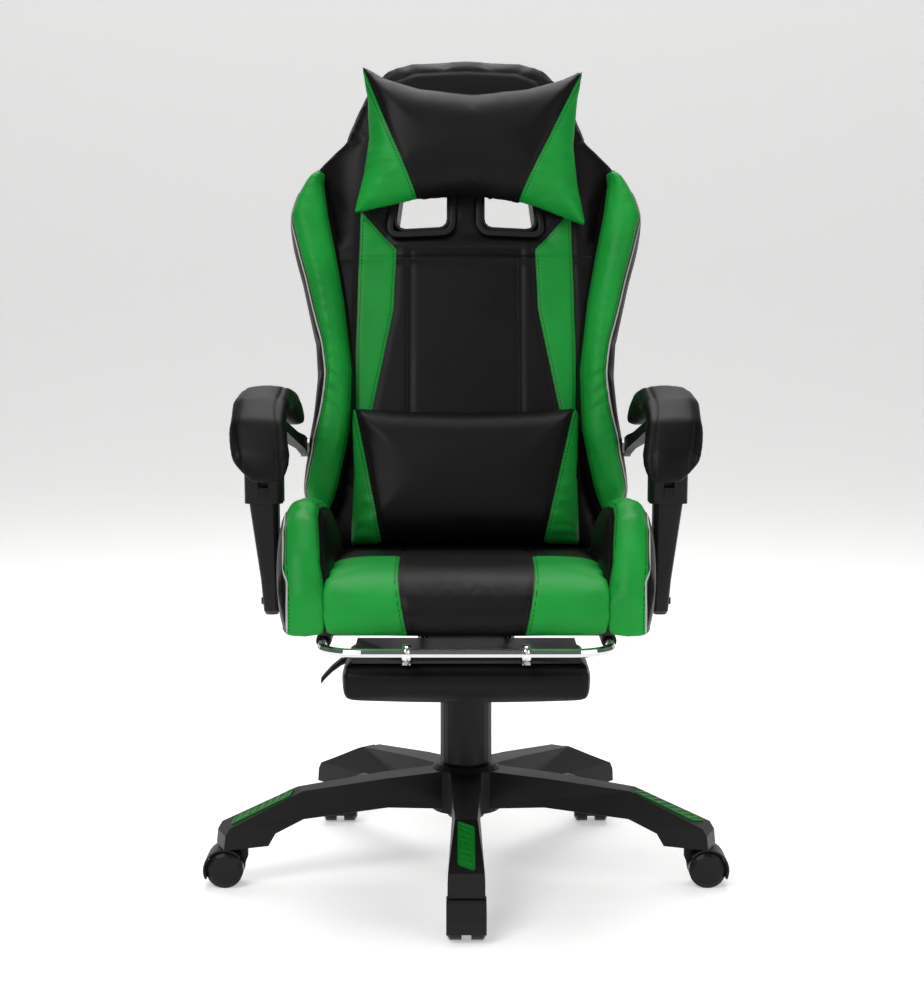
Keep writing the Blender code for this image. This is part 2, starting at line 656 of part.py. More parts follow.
def seat_bolster(name, side):
    """One of the bucket's raised sides, which also wraps the frame's rail."""
    floor = SEAT_UNDERSIDE + RAIL_SIZE + GAP
    rail = FRAME_HALF_WIDTH + 0.0068
    stations = [(CUSHION_FRONT + 0.004, 0.420, 0.010), (CUSHION_FRONT + 0.030, 0.470, 0.004),
                (-0.195, 0.512, 0.001), (-0.150, BOLSTER_TOP, 0), (-0.060, 0.522, 0), (0.040, 0.508, 0),
                (BOLSTER_REAR, 0.480, 0.002)]
    rings = []
    for y, top, tuck in stations:
        edge = BOLSTER_HALF_WIDTH - tuck
        waist = (top + floor) / 2
        rings.append(mirrored([
            (CUSHION_HALF_WIDTH, y, floor), (CUSHION_HALF_WIDTH + 0.001, y, waist),
            (CUSHION_HALF_WIDTH + 0.010, y, top - 0.014), (CUSHION_HALF_WIDTH + 0.024, y, top),
            (edge - 0.020, y, top), (edge - 0.004, y, top - 0.018), (edge, y, waist), (edge - 0.003, y, floor),
            (edge - 0.006, y, SEAT_SKIRT), (rail, y, SEAT_SKIRT), (rail, y, floor)], side))
    put(name, loft(name, rings), seat, GREEN_LEATHER)


seat_frame()
seat_cushion()
for s, sign in SIDE.items():
    seat_bolster(f"seat_bolster_{s}", sign)


# ---------------------------------------------------------------- footrest

def footrest():
    half, corner = SLIDE_HALF_WIDTH, BAR_CORNER
    path = [(half, SLIDE_REAR, BAR_Z)]
    for number in range(9):
        angle = math.pi / 2 * number / 8
        path.append((half - corner + corner * math.cos(angle), BAR_Y + corner - corner * math.sin(angle), BAR_Z))
    path += [(-x, y, z) for x, y, z in reversed(path)]
    put("footrest_tube", pipe("footrest_tube", path, BAR_RADIUS), footrest_slide, CHROME)
    guide = sleeve("footrest_guide", BAR_RADIUS + 0.004, BAR_RADIUS + 0.0006, -0.05, 0.05)
    for s, sign in SIDE.items():
        screw(put(f"footrest_guide_{s}", guide, seat, NYLON, (sign * half, FRAME_FRONT + 0.085, BAR_Z),
                  (math.pi / 2, 0, 0)), 16)
    footrest_board()
    half_width = FOOTREST_WIDTH / 2
    top = FOOTREST_TOP - BOARD_THICKNESS - GAP
    side = rounded([(FOOTREST_FRONT, FOOTREST_BOTTOM), (FOOTREST_REAR, FOOTREST_BOTTOM), (FOOTREST_REAR, top),
                    (FOOTREST_FRONT, top)], 0.012)
    put("footrest_cushion", plate("footrest_cushion", 2 * half_width, side), footrest_flip, BLACK_LEATHER,
        turn=IN_YZ)


def footrest_board():
    low = FOOTREST_TOP - BOARD_THICKNESS
    edge = FOOTREST_WIDTH / 2 - 0.012
    board = box("footrest_board", (-edge, FOOTREST_FRONT + 0.008, low), (edge, FOOTREST_REAR - 0.008, FOOTREST_TOP))
    piece = put("footrest_board", board, footrest_flip, BOARD)
    for side in (-1, 1):
        x = side * 0.075
        loop = cylinder(f"loop_{side}", BAR_RADIUS + 0.005, 0.030, STEPS)
        combine(piece, tool(f"loop_{side}", loop, at=(x, BAR_Y, BAR_Z)), "UNION")
        strap = box(f"strap_{side}", (x - 0.014, BAR_Y, FOOTREST_TOP - 0.003), (x + 0.014, BAR_Y + 0.060,
                                                                               BAR_Z - BAR_RADIUS))
        combine(piece, tool(f"strap_{side}", strap), "UNION")
    bore = cylinder("bar_bore", BAR_RADIUS + 0.0006, 0.24, 16)
    combine(piece, tool("bar_bore", bore, at=(0, BAR_Y, BAR_Z)))


footrest()


# ---------------------------------------------------------------- recliner

def recliner(s, side):
    plate_in = FRAME_HALF_WIDTH + GAP
    lower_x = side * (plate_in + RECLINER_PLATE / 2)
    rail_top = SEAT_UNDERSIDE + RAIL_SIZE
    lower = [(FRAME_REAR - 0.060, SEAT_UNDERSIDE + 0.002), (HINGE_Y + 0.020, SEAT_UNDERSIDE + 0.002),
             (HINGE_Y + RECLINER_RADIUS, HINGE_Z - 0.010), (HINGE_Y + 0.020, HINGE_Z + 0.020),
             (HINGE_Y - 0.012, HINGE_Z + 0.024), (BOLSTER_REAR + 0.008, rail_top), (FRAME_REAR - 0.060, rail_top)]
    lower_mesh = as_mesh("recliner_lower", plate("recliner_lower", RECLINER_PLATE, rounded(lower, 0.008)))
    piece = put(f"recliner_lower_{s}", lower_mesh, seat, STEEL, (lower_x, 0, 0), IN_YZ)
    pin = cylinder("recliner_pin", RECLINER_PIN, 0.016)
    pin_x = side * (plate_in + RECLINER_PLATE - 0.001 - 0.008)
    combine(piece, tool(f"recliner_pin_{s}", pin, at=(pin_x, HINGE_Y, HINGE_Z)), "UNION")

    upper_x = side * (FRAME_HALF_WIDTH - RECLINER_PLATE / 2 - 0.0001)
    half = BACK_PAD_REAR - 0.0018
    strap = rounded([(-half, 0.130), (half, 0.130), (half, WING_BOTTOM - 0.006), (0.016, 0), (0.014, -0.018),
                     (-0.014, -0.018), (-0.016, 0), (-half, WING_BOTTOM - 0.006)], 0.006)
    strap = [(-n, up) for n, up in strap]
    turn = (math.pi / 2, LEAN, math.pi / 2)
    upper = put(f"recliner_upper_{s}", as_mesh("recliner_upper", plate("upper", RECLINER_PLATE, strap)), back, STEEL,
                (upper_x, HINGE_Y, HINGE_Z), turn)
    hole = cylinder("recliner_hole", RECLINER_PIN + GAP * 2, 0.03)
    combine(upper, tool(f"recliner_hole_{s}", hole, at=(upper_x, HINGE_Y, HINGE_Z)))

    # A moulded cap over the hinge, open to the inside.
    inner = plate_in + RECLINER_PLATE + 0.0008
    cap_out, radius = RECLINER_COVER_X, RECLINER_COVER_RADIUS
    cap = profile(f"recliner_cover_{s}", [
        (0, cap_out), (radius - 0.010, cap_out), (radius, cap_out - 0.010), (radius, inner),
        (radius - 0.0025, inner), (radius - 0.0025, cap_out - 0.011), (radius - 0.011, cap_out - 0.003),
        (0, cap_out - 0.003)])
    screw(put(f"recliner_cover_{s}", cap, seat, NYLON, (0, HINGE_Y, HINGE_Z), (0, side * math.pi / 2, 0)))


def recline_lever():
    inner = BOLSTER_HALF_WIDTH + 0.0015
    thickness = 0.006
    blade = rounded([(HINGE_Y + 0.012, HINGE_Z - 0.012), (HINGE_Y + 0.012, HINGE_Z + 0.012),
                     (HINGE_Y - 0.040, HINGE_Z + 0.010), (HINGE_Y - 0.125, HINGE_Z + 0.016),
                     (HINGE_Y - 0.125, HINGE_Z - 0.002), (HINGE_Y - 0.040, HINGE_Z - 0.010)], 0.006)
    x = -(inner + thickness / 2)
    mesh = as_mesh("recline_lever", plate("lever_blade", thickness, blade))
    piece = put("recline_lever", mesh, recline_lever_axis, NYLON, (x, 0, 0), IN_YZ)
    hub_in = RECLINER_COVER_X + 0.0008
    hub = cylinder("lever_hub", 0.010, inner + 0.001 - hub_in)
    hub_at = (-(inner + 0.001 + hub_in) / 2, HINGE_Y, HINGE_Z)
    combine(piece, tool("lever_hub", hub, at=hub_at), "UNION")


for s, sign in SIDE.items():
    recliner(s, sign)
recline_lever()


# ---------------------------------------------------------------- back
# Outlines are (x, up the back from the hinge); the third axis runs forward off the back.

def between(low, high, stations):
    """The stations' heights, given as shares of the way from one height to another."""
    return [(low + (high - low) * share, value) for share, value in stations]


WING_OUTER = [(WING_BOTTOM, 0.222), (0.088, 0.236), (0.125, 0.229), (0.140, 0.2255), (0.160, 0.224),
              (0.202, 0.217)] + between(WAIST, SHOULDER, [
                  (0, 0.212), (0.147, 0.215), (0.444, 0.236), (0.569, 0.247), (0.747, 0.2610), (0.847, 0.252),
                  (0.947, 0.237), (1, 0.222)])
WING_INNER = [(0.0, 0.182), (WING_BOTTOM, 0.182), (0.130, 0.170)] + between(0.202, HEAD_BOTTOM - 0.015, [
    (0, 0.1675), (0.433, 0.181), (0.748, 0.196), (1, HEAD_HALF_WIDTH)]) + [(BACK_LENGTH, HEAD_HALF_WIDTH)]
WING_FRONT = [(WING_BOTTOM, 0.060), (0.088, 0.082), (0.160, 0.098)] + between(WAIST, SHOULDER, [
    (0.444, 0.100), (0.747, 0.094), (0.947, 0.078), (1, 0.064)])
HEAD_OUTLINE = [(HEAD_HALF_WIDTH, HEAD_BOTTOM)] + [(x, BACK_LENGTH - down) for x, down in [
    (HEAD_HALF_WIDTH, 0.167), (0.197, 0.142), (0.180, 0.117), (0.140, 0.045), (0.115, 0.018), (0.080, 0.005),
    (0.0, 0.0)]]
WINDOW = [(x, BACK_LENGTH - down) for x, down in [(0.028, 0.258), (0.103, 0.262), (0.090, 0.164), (0.028, 0.150)]]


def frame_path():
    """The bent tube inside the back, one closed loop."""
    x = FRAME_TUBE_X
    half = [(x, 0.060)] + [(x - inwards, BACK_LENGTH - down) for inwards, down in [
        (0, 0.222), (0.010, 0.162), (0.036, 0.102), (0.078, 0.052)]]
    corners = half + [(-a, b) for a, b in reversed(half)]
    return [(a, b, 0) for a, b in rounded(corners, 0.035, 4)]


def back_wing(name, side):
    """A side bolster of the back: it wraps the frame's tube from outside and stands forward of the cushion."""
    rings = []
    top = WING_OUTER[-1][0]
    stations = {up for up, _ in WING_OUTER + WING_INNER if WING_BOTTOM <= up <= top}
    for up in sorted(stations):
        outer = smooth_between(WING_OUTER, up)
        inner = smooth_between(WING_INNER, up) + GAP
        front = smooth_between(WING_FRONT, up)
        behind = max(FRAME_HALF_WIDTH + 0.0052, inner)
        belly = min(front - 0.030, 0.055)
        rings.append([(side * x, up, forward) for x, forward in [
            (behind, BACK_REAR), (outer - 0.005, BACK_REAR), (outer, BACK_REAR + 0.010), (outer, belly),
            (outer - 0.004, front - 0.012), (outer - 0.014, front), (inner + 0.014, front - 0.006),
            (inner + 0.004, front - 0.030), (inner, BACK_PAD_REAR + 0.001), (behind, BACK_PAD_REAR)]])
    put(name, loft(name, rings), back, GREEN_LEATHER, (0, HINGE_Y, HINGE_Z), ON_BACK)


def cushion_outline(margin, low, high):
    """The field between the wings, closed at the head cushion."""
    ups = [low] + [up for up, _ in WING_INNER if low < up < high] + [high]
    right = [(smooth_between(WING_INNER, up) - margin, up) for up in ups]
    return right + [(-x, up) for x, up in reversed(right)]


def on_back(name, data, group, finish, forward):
    """Places a flat piece whose middle lies so far forward of the hinge, square to the back."""
    offset = Vector((0, -math.cos(LEAN), math.sin(LEAN))) * forward
    return put(name, data, group, finish, Vector((0, HINGE_Y, HINGE_Z)) + offset, ON_BACK)


def back_cushion():
    thickness = BACK_PAD_FRONT - BACK_PAD_REAR
    outline = cushion_outline(GAP, BACK_BOTTOM, HEAD_BOTTOM - GAP)
    middle = (BACK_PAD_FRONT + BACK_PAD_REAR) / 2
    on_back("back_cushion", plate("back_cushion", thickness, outline), back, BLACK_LEATHER, middle)


def rear_panel():
    edge = FRAME_HALF_WIDTH - RECLINER_PLATE - 0.001
    corners = [(-edge, BACK_BOTTOM), (edge, BACK_BOTTOM), (edge, HEAD_BOTTOM - GAP), (-edge, HEAD_BOTTOM - GAP)]
    middle = BACK_REAR + PANEL_THICKNESS / 2
    on_back("back_rear_panel", plate("back_rear_panel", PANEL_THICKNESS, corners), back, BLACK_LEATHER, middle)


def grown(corners, margin):
    """The outline moved outwards by the margin."""
    centre = Vector((sum(p[0] for p in corners), sum(p[1] for p in corners))) / len(corners)
    moved = []
    for i, corner in enumerate(corners):
        here = Vector(corner)
        back_edge = (here - Vector(corners[i - 1])).normalized()
        next_edge = (Vector(corners[(i + 1) % len(corners)]) - here).normalized()
        normals = [Vector((edge.y, -edge.x)) for edge in (back_edge, next_edge)]
        normals = [n if n.dot(here - centre) > 0 else -n for n in normals]
        across = normals[0] + normals[1]
        moved.append(tuple(here + across * margin / (across.dot(normals[0]))))
    return moved


def window_outline(side, margin=0.0):
    corners = [(side * x, up) for x, up in grown(WINDOW, margin)]
    return rounded(corners, 0.012 + margin, 3)


def head_cushion():
    """The padded top of the back, with two openings and a channel for the frame's tube."""
    outline = HEAD_OUTLINE + [(-x, up) for x, up in reversed(HEAD_OUTLINE[:-1])]
    thickness = HEAD_FRONT - BACK_REAR
    middle = (HEAD_FRONT + BACK_REAR) / 2
    mesh = as_mesh("head_cushion", plate("head_cushion", thickness, outline))
    piece = on_back("head_cushion", mesh, back, BLACK_LEATHER, middle)
    offset = Vector((0, -math.cos(LEAN), math.sin(LEAN))) * middle
    at = Vector((0, HINGE_Y, HINGE_Z)) + offset
    for s, side in SIDE.items():
        hole = plate("window_hole", thickness + 0.02, window_outline(side, WINDOW_WALL + GAP))
        combine(piece, tool(f"window_hole_{s}", as_mesh("window_hole", hole), at, ON_BACK))
        bezel = plate("window_bezel", thickness + 0.001, window_outline(side, WINDOW_WALL), window_outline(side))
        on_back(f"window_bezel_{s}", bezel, back, NYLON, middle)
    channel = as_mesh("tube_channel", pipe("tube_channel", frame_path(), FRAME_TUBE + 0.0008, cyclic=True))
    combine(piece, tool("tube_channel", channel, (0, HINGE_Y, HINGE_Z), ON_BACK))


def pillow(name, outline, group, finish, rear, front):
    on_back(name, plate(name, front - rear, outline), group, finish, (rear + front) / 2)


back_tube = pipe("back_frame", frame_path(), FRAME_TUBE, cyclic=True)
put("back_frame", back_tube, back, STEEL, (0, HINGE_Y, HINGE_Z), ON_BACK)
back_cushion()
rear_panel()
head_cushion()
for s, sign in SIDE.items():
    back_wing(f"back_wing_{s}", sign)
neck_outline = [(x, BACK_LENGTH - down) for x, down in [
    (-0.146, 0.032), (0.010, 0.064), (0.166, 0.040), (0.158, 0.142), (0.168, 0.256), (0.010, 0.220),
    (-0.154, 0.237), (-0.140, 0.132)]]
pillow("neck_pillow", neck_outline, neck_slide, BLACK_LEATHER, HEAD_FRONT + PILLOW_GAP, HEAD_FRONT + 0.065)
lumbar_corners = [(-LUMBAR_WIDTH / 2, BACK_BOTTOM), (LUMBAR_WIDTH / 2, BACK_BOTTOM),
                  (LUMBAR_WIDTH / 2, BACK_BOTTOM + LUMBAR_HEIGHT), (-LUMBAR_WIDTH / 2, BACK_BOTTOM + LUMBAR_HEIGHT)]
pillow("lumbar_pillow", rounded(lumbar_corners, 0.02), lumbar_slide, BLACK_LEATHER, BACK_PAD_FRONT + PILLOW_GAP,
       BACK_PAD_FRONT + 0.070)


# ---------------------------------------------------------------- armrests

def bar(name, stations, side):
    """A bar of changing section along a path in Y and Z; each station is (x, y, z, width, height)."""
    rings = []
    for i, (x, y, z, width, height) in enumerate(stations):
        before = stations[max(i - 1, 0)]
        after = stations[min(i + 1, len(stations) - 1)]
        along = Vector((after[1] - before[1], after[2] - before[2])).normalized()
        up = Vector((-along.y, along.x)) * height / 2
        half = width / 2
        rings.append(mirrored([(x - half, y - up.x, z - up.y), (x + half, y - up.x, z - up.y),
                               (x + half, y + up.x, z + up.y), (x - half, y + up.x, z + up.y)], side))
    return loft(name, rings)


def arm_frame(s, side):
    knuckle_y, knuckle_z = ARM_FOOT_Y + ARM_PIN_Y, ARM_FOOT_Z + ARM_PIN_Z
    rear_y, rear_z = HINGE_Y + ARM_PIN_Y, HINGE_Z + ARM_PIN_Z
    reach = ARM_X - LUG_X
    stations = [
        (ARM_X, knuckle_y, knuckle_z - 0.013, TONGUE_WIDTH, 0.022),
        (ARM_X, knuckle_y, knuckle_z + 0.020, TONGUE_WIDTH, 0.022),
        (ARM_X, knuckle_y, knuckle_z + 0.035, TONGUE_WIDTH, 0.022),
        (ARM_X, knuckle_y + 0.010, knuckle_z + 0.055, 0.018, 0.018),
        (ARM_X, knuckle_y + 0.040, knuckle_z + 0.072, 0.022, 0.016),
        (LUG_X + 0.91 * reach, knuckle_y + 0.075, knuckle_z + 0.076, 0.024, 0.015),
        (LUG_X + 0.70 * reach, rear_y - 0.090, rear_z + 0.034, 0.022, 0.015),
        (LUG_X + 0.35 * reach, rear_y - 0.050, rear_z + 0.017, 0.018, 0.016),
        (LUG_X + 0.09 * reach, rear_y - 0.022, rear_z + 0.008, 0.013, 0.020),
        (LUG_X, rear_y, rear_z, LUG_WIDTH, 0.024),
        (LUG_X, rear_y + 0.014, rear_z - 0.006, LUG_WIDTH, 0.022)]
    piece = put(f"arm_frame_{s}", bar("arm_frame", stations, side), arm_axis[s], NYLON)
    hole = cylinder("arm_hole", ARM_PIN_RADIUS + ARM_PIN_PLAY, 0.05)
    combine(piece, tool(f"knuckle_hole_{s}", hole, at=(side * ARM_X, knuckle_y, knuckle_z)))
    combine(piece, tool(f"rear_hole_{s}", hole, at=(side * LUG_X, rear_y, rear_z)))
    stud = profile(f"arm_stud_{s}", [
        (0, LUG_X + 0.008), (ARM_PIN_RADIUS, LUG_X + 0.008), (ARM_PIN_RADIUS, STUD_X + STUD_FLANGE),
        (0.012, STUD_X + STUD_FLANGE), (0.012, STUD_X), (0, STUD_X)])
    screw(put(f"arm_stud_{s}", stud, back, BRIGHT_STEEL, (0, rear_y, rear_z), (0, side * math.pi / 2, 0)),
          SMALL_STEPS)


def armrest_pad(s, side):
    """A saddle-shaped soft pad that arches over the bar."""
    reach = ARM_X - LUG_X
    stations = [(0.86, -0.100, 0.556, 0.026, 0.010), (0.99, -0.091, 0.580, 0.056, 0.022),
                (1.14, -0.062, 0.612, 0.078, 0.030), (1.12, -0.020, 0.637, 0.082, 0.032),
                (1.01, 0.030, 0.648, 0.078, 0.032), (0.83, 0.075, 0.641, 0.070, 0.030),
                (0.58, 0.112, 0.624, 0.056, 0.028), (0.35, 0.142, 0.608, 0.040, 0.020),
                (0.22, 0.154, 0.602, 0.022, 0.010)]
    stations = [(LUG_X + share * reach, *rest) for share, *rest in stations]
    rings = []
    for i, (x, y, z, width, height) in enumerate(stations):
        before, after = stations[max(i - 1, 0)], stations[min(i + 1, len(stations) - 1)]
        along = Vector((after[1] - before[1], after[2] - before[2])).normalized()
        ring = []
        for step in range(12):
            angle = 2 * math.pi * step / 12
            across = width / 2 * math.copysign(abs(math.cos(angle)) ** 0.7, math.cos(angle))
            up = height / 2 * math.copysign(abs(math.sin(angle)) ** 0.7, math.sin(angle))
            ring.append((x + across, y - along.y * up, z + along.x * up))
        rings.append(mirrored(ring, side))
    put(f"armrest_pad_{s}", loft("armrest_pad", rings), arm_axis[s], BLACK_LEATHER)


def arm_leg(s, side):
    """The front link: a tapered leg with a wider knuckle, which is slotted for the arm's tongue."""
    knuckle_y, knuckle_z = ARM_FOOT_Y + ARM_PIN_Y, ARM_FOOT_Z + ARM_PIN_Z
    rings = []
    for z, inwards, outwards, half_depth in [
            (ARM_FOOT_Z - 0.018, 0.0165, 0.0005, 0.010), (ARM_FOOT_Z - 0.012, 0.0195, 0.0025, 0.017),
            (ARM_FOOT_Z + 0.030, 0.0195, 0.0055, 0.020), (knuckle_z - 0.0285, 0.0190, 0.0195, 0.022),
            (knuckle_z - 0.0280, KNUCKLE_WIDTH / 2, KNUCKLE_WIDTH / 2, 0.024),
            (knuckle_z + 0.012, KNUCKLE_WIDTH / 2, KNUCKLE_WIDTH / 2, 0.025),
            (knuckle_z + 0.017, KNUCKLE_WIDTH / 2 - 0.004, KNUCKLE_WIDTH / 2 - 0.004, 0.020)]:
        share = (z - ARM_FOOT_Z) / ARM_PIN_Z
        y = ARM_FOOT_Y + ARM_PIN_Y * share
        low, high = ARM_X - inwards, ARM_X + outwards
        section = rounded([(low, y - half_depth), (high, y - half_depth), (high, y + half_depth),
                           (low, y + half_depth)], 0.006, 2)
        rings.append([(side * x, depth, z) for x, depth in section])
    piece = put(f"arm_leg_{s}", loft("arm_leg", rings), leg_axis[s], NYLON)
    half_slot = SLOT_WIDTH / 2
    slot = box("knuckle_slot", (-half_slot, -0.05, -0.022), (half_slot, 0.05, 0.03))
    combine(piece, tool(f"knuckle_slot_{s}", slot, at=(side * ARM_X, knuckle_y, knuckle_z)))
    pin = cylinder("knuckle_pin", ARM_PIN_RADIUS, 0.040)
    combine(piece, tool(f"knuckle_pin_{s}", pin, at=(side * ARM_X, knuckle_y, knuckle_z)), "UNION")
    hole = cylinder("foot_hole", ARM_PIN_RADIUS + ARM_PIN_PLAY, 0.05)
    combine(piece, tool(f"foot_hole_{s}", hole, at=(side * (ARM_X - 0.0085), ARM_FOOT_Y, ARM_FOOT_Z)))


def arm_bracket(s, side):
    """A folded steel foot under the seat's rail, with the pin on which the leg turns."""
    top = SEAT_UNDERSIDE - GAP
    bottom = top - PLATE_THICKNESS
    edges = sorted((side * (FRAME_HALF_WIDTH - 0.044), side * (BRACKET_X + BRACKET_EAR)))
    flat = box("arm_bracket", (edges[0], ARM_FOOT_Y - 0.025, bottom), (edges[1], ARM_FOOT_Y + 0.025, top))
    piece = put(f"arm_bracket_{s}", flat, seat, STEEL)
    ear_edges = sorted((side * BRACKET_X, side * (BRACKET_X + BRACKET_EAR)))
    ear = box("arm_ear", (ear_edges[0], ARM_FOOT_Y - 0.018, bottom + 0.001),
              (ear_edges[1], ARM_FOOT_Y + 0.018, ARM_FOOT_Z + 0.018))
    combine(piece, tool(f"arm_ear_{s}", ear), "UNION")
    pin = cylinder("foot_pin", ARM_PIN_RADIUS, 0.032)
    combine(piece, tool(f"foot_pin_{s}", pin, at=(side * (ARM_X - 0.0095), ARM_FOOT_Y, ARM_FOOT_Z)), "UNION")


for s, sign in SIDE.items():
    arm_frame(s, sign)
    armrest_pad(s, sign)
    arm_leg(s, sign)
    arm_bracket(s, sign)
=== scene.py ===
"""A swivel gaming chair: nylon star base on casters, gas column, and a reclining bucket seat with a
pull-out footrest.

The sitter faces -Y. Side "r" is the sitter's right, at negative x, and side "l" the left.
"""

import json
import math

import bmesh
import bpy
import numpy as np
from mathutils import Matrix, Vector, noise
from mathutils.bvhtree import BVHTree


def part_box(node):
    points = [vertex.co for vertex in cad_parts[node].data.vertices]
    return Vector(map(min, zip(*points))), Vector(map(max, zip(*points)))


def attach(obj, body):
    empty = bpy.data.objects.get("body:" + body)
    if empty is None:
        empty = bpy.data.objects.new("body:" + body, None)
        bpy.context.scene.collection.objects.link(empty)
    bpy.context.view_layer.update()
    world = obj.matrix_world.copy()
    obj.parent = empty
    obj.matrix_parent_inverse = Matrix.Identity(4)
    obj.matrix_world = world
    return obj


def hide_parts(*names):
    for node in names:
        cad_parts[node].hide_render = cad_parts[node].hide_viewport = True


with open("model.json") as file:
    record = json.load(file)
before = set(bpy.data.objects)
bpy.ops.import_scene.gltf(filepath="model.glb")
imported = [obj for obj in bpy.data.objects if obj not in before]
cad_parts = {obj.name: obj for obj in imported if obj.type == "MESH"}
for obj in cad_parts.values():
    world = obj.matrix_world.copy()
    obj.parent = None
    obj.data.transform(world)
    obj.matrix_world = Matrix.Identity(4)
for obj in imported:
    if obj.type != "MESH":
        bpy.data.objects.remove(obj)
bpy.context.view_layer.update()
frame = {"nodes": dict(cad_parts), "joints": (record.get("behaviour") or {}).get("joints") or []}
scene = bpy.context.scene
scene.view_settings.view_transform = "Standard"


# ---------------------------------------------------------------- room
# A pale matt floor that curves up into a backdrop, lit by large soft panels from the front and
# above.

FLOOR_COLOUR = "F2F2F0"
FLOOR_GLOW = 0.38            # keeps the paint pale in its own shade
FLOOR_SIZE = 14.0            # metres across
BACKDROP_RISE, BACKDROP_CURVE = 7.0, 2.4
CAMERA_AT = (-0.0055, -3.0244, 0.848)
CAMERA_TILT = 6.4            # degrees below level
LENS = 79.2                  # mm, on a 36 mm sensor
ROOM_LIGHT = 0.14            # strength of the white all round
PANELS = {                   # watts, width in metres, place
    "key_panel": (78, 2.0, (-1.7, -2.7, 3.1)),
    "fill_panel": (30, 2.4, (2.6, -2.4, 1.8)),
    "front_panel": (10, 1.8, (0.1, -3.6, 1.0)),
    "top_panel": (30, 1.8, (0.0, 0.4, 3.2)),
    "backdrop_panel": (60, 2.6, (0.0, 1.6, 3.4)),
}
AIM = Vector((0, 0, 0.55))


def linear(hex_colour):
    """An sRGB hex value as a linear colour."""
    values = [int(hex_colour[i : i + 2], 16) / 255 for i in (0, 2, 4)]
    return [v / 12.92 if v <= 0.04045 else ((v + 0.055) / 1.055) ** 2.4 for v in values] + [1.0]


def add(tree, kind, inputs=(), **settings):
    """One node with its settings; an input is a value or the socket that feeds it."""
    node = tree.nodes.new(kind)
    for key, value in settings.items():
        setattr(node, key, value)
    for key, value in dict(inputs).items():
        if isinstance(value, bpy.types.NodeSocket):
            tree.links.new(value, node.inputs[key])
        else:
            node.inputs[key].default_value = value
    return node


def new_finish(name, **constants):
    """A material with its own shader node, which takes the constants straight on its sockets."""
    made = bpy.data.materials.new(name)
    made.use_nodes = True
    shader = made.node_tree.nodes["Principled BSDF"]
    for key, value in constants.items():
        shader.inputs[key.replace("_", " ")].default_value = value
    return made, made.node_tree, shader


def moved_points(geometry):
    """The points among what an extrusion returned."""
    return [g for g in geometry if isinstance(g, bmesh.types.BMVert)]


def finished(shape, name):
    """The shape as a mesh with this name."""
    made = bpy.data.meshes.new(name)
    shape.to_mesh(made)
    shape.free()
    return made


def new_piece(name, mesh, finish, body=None):
    """An object at the origin that shows the mesh, rides on the body and has the slot's finish."""
    piece = bpy.data.objects.new(name, mesh)
    scene.collection.objects.link(piece)
    mesh.materials.clear()
    mesh.materials.append(finish)
    if body:
        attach(piece, body)
    return piece


floor_paint, tree, shader = new_finish("matt_floor_paint", Roughness=0.9,
                                       Emission_Color=(1, 1, 1, 1), Emission_Strength=FLOOR_GLOW)
mottle = add(tree, "ShaderNodeTexNoise", {"Scale": 2.0, "Detail": 3.0})
tint = add(tree, "ShaderNodeMix", {0: mottle.outputs["Fac"], 6: linear(FLOOR_COLOUR),
                                   7: linear("F5F5F4")}, data_type="RGBA")
tree.links.new(tint.outputs[2], shader.inputs["Base Color"])

shape = bmesh.new()
bmesh.ops.create_grid(shape, x_segments=1, y_segments=1, size=FLOOR_SIZE / 2)
rear_edge = [e for e in shape.edges if all(v.co.y > 0 for v in e.verts)]
risen = bmesh.ops.extrude_edge_only(shape, edges=rear_edge)["geom"]
bmesh.ops.translate(shape, verts=moved_points(risen), vec=(0, 0, BACKDROP_RISE))
bmesh.ops.bevel(shape, geom=rear_edge, offset=BACKDROP_CURVE, segments=16, profile=0.5,
                affect="EDGES", material=-1)
for face in shape.faces:
    face.smooth = True
bmesh.ops.recalc_face_normals(shape, faces=shape.faces)
new_piece("studio_floor", finished(shape, "studio_floor"), floor_paint)

for name, (watts, width, place) in PANELS.items():
    lamp = bpy.data.lights.new(name, "AREA")
    lamp.energy, lamp.shape, lamp.size = watts, "SQUARE", width
    panel = bpy.data.objects.new(name, lamp)
    panel.location = place
    panel.rotation_euler = (AIM - Vector(place)).to_track_quat("-Z", "Y").to_euler()
    scene.collection.objects.link(panel)

scene.world = bpy.data.worlds.new("white_room")
scene.world.use_nodes = True
sky = scene.world.node_tree.nodes["Background"]
sky.inputs["Color"].default_value = (1, 1, 1, 1)
sky.inputs["Strength"].default_value = ROOM_LIGHT

camera = bpy.data.objects.new("camera", bpy.data.cameras.new("camera"))
camera.data.lens, camera.data.sensor_width = LENS, 36
camera.location = CAMERA_AT
camera.rotation_euler = (math.radians(90 - CAMERA_TILT), 0, 0)
scene.collection.objects.link(camera)
scene.camera = camera


# ---------------------------------------------------------------- star base, casters and column
# Glass-filled nylon mouldings with a fine spark-eroded texture, and a steel tube inside plain
# nylon sleeves.
# Each sloping leg top has a green ribbed insert pressed into a shallow frame.

INSERT_GREEN = "0B6E22"
COLUMN_Y = sum(corner.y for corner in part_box("gas_tube")) / 2
LEG_KINK = Vector((0.237, 0.125))     # radius and height where a leg's top starts to slope
LEG_TIP = Vector((0.340, 0.083))
INSERT_START, INSERT_END = 0.10, 0.90  # shares of the slope
INSERT_HALF, INSERT_HEIGHT = 0.0110, 0.0018
INSERT_SKEW = 0.006                    # how far each long side is shifted along the leg
INSERT_CORNER = 0.004
FRAME_WIDTH, GROOVE_WIDTH, GROOVE_DEPTH = 0.0022, 0.0008, 0.0010
RIBS, RIB_SHARE, RIB_THICKNESS = 7, 0.52, 0.0016
RIB_MARGIN = 0.0052                    # that a rib is shorter than the insert is wide


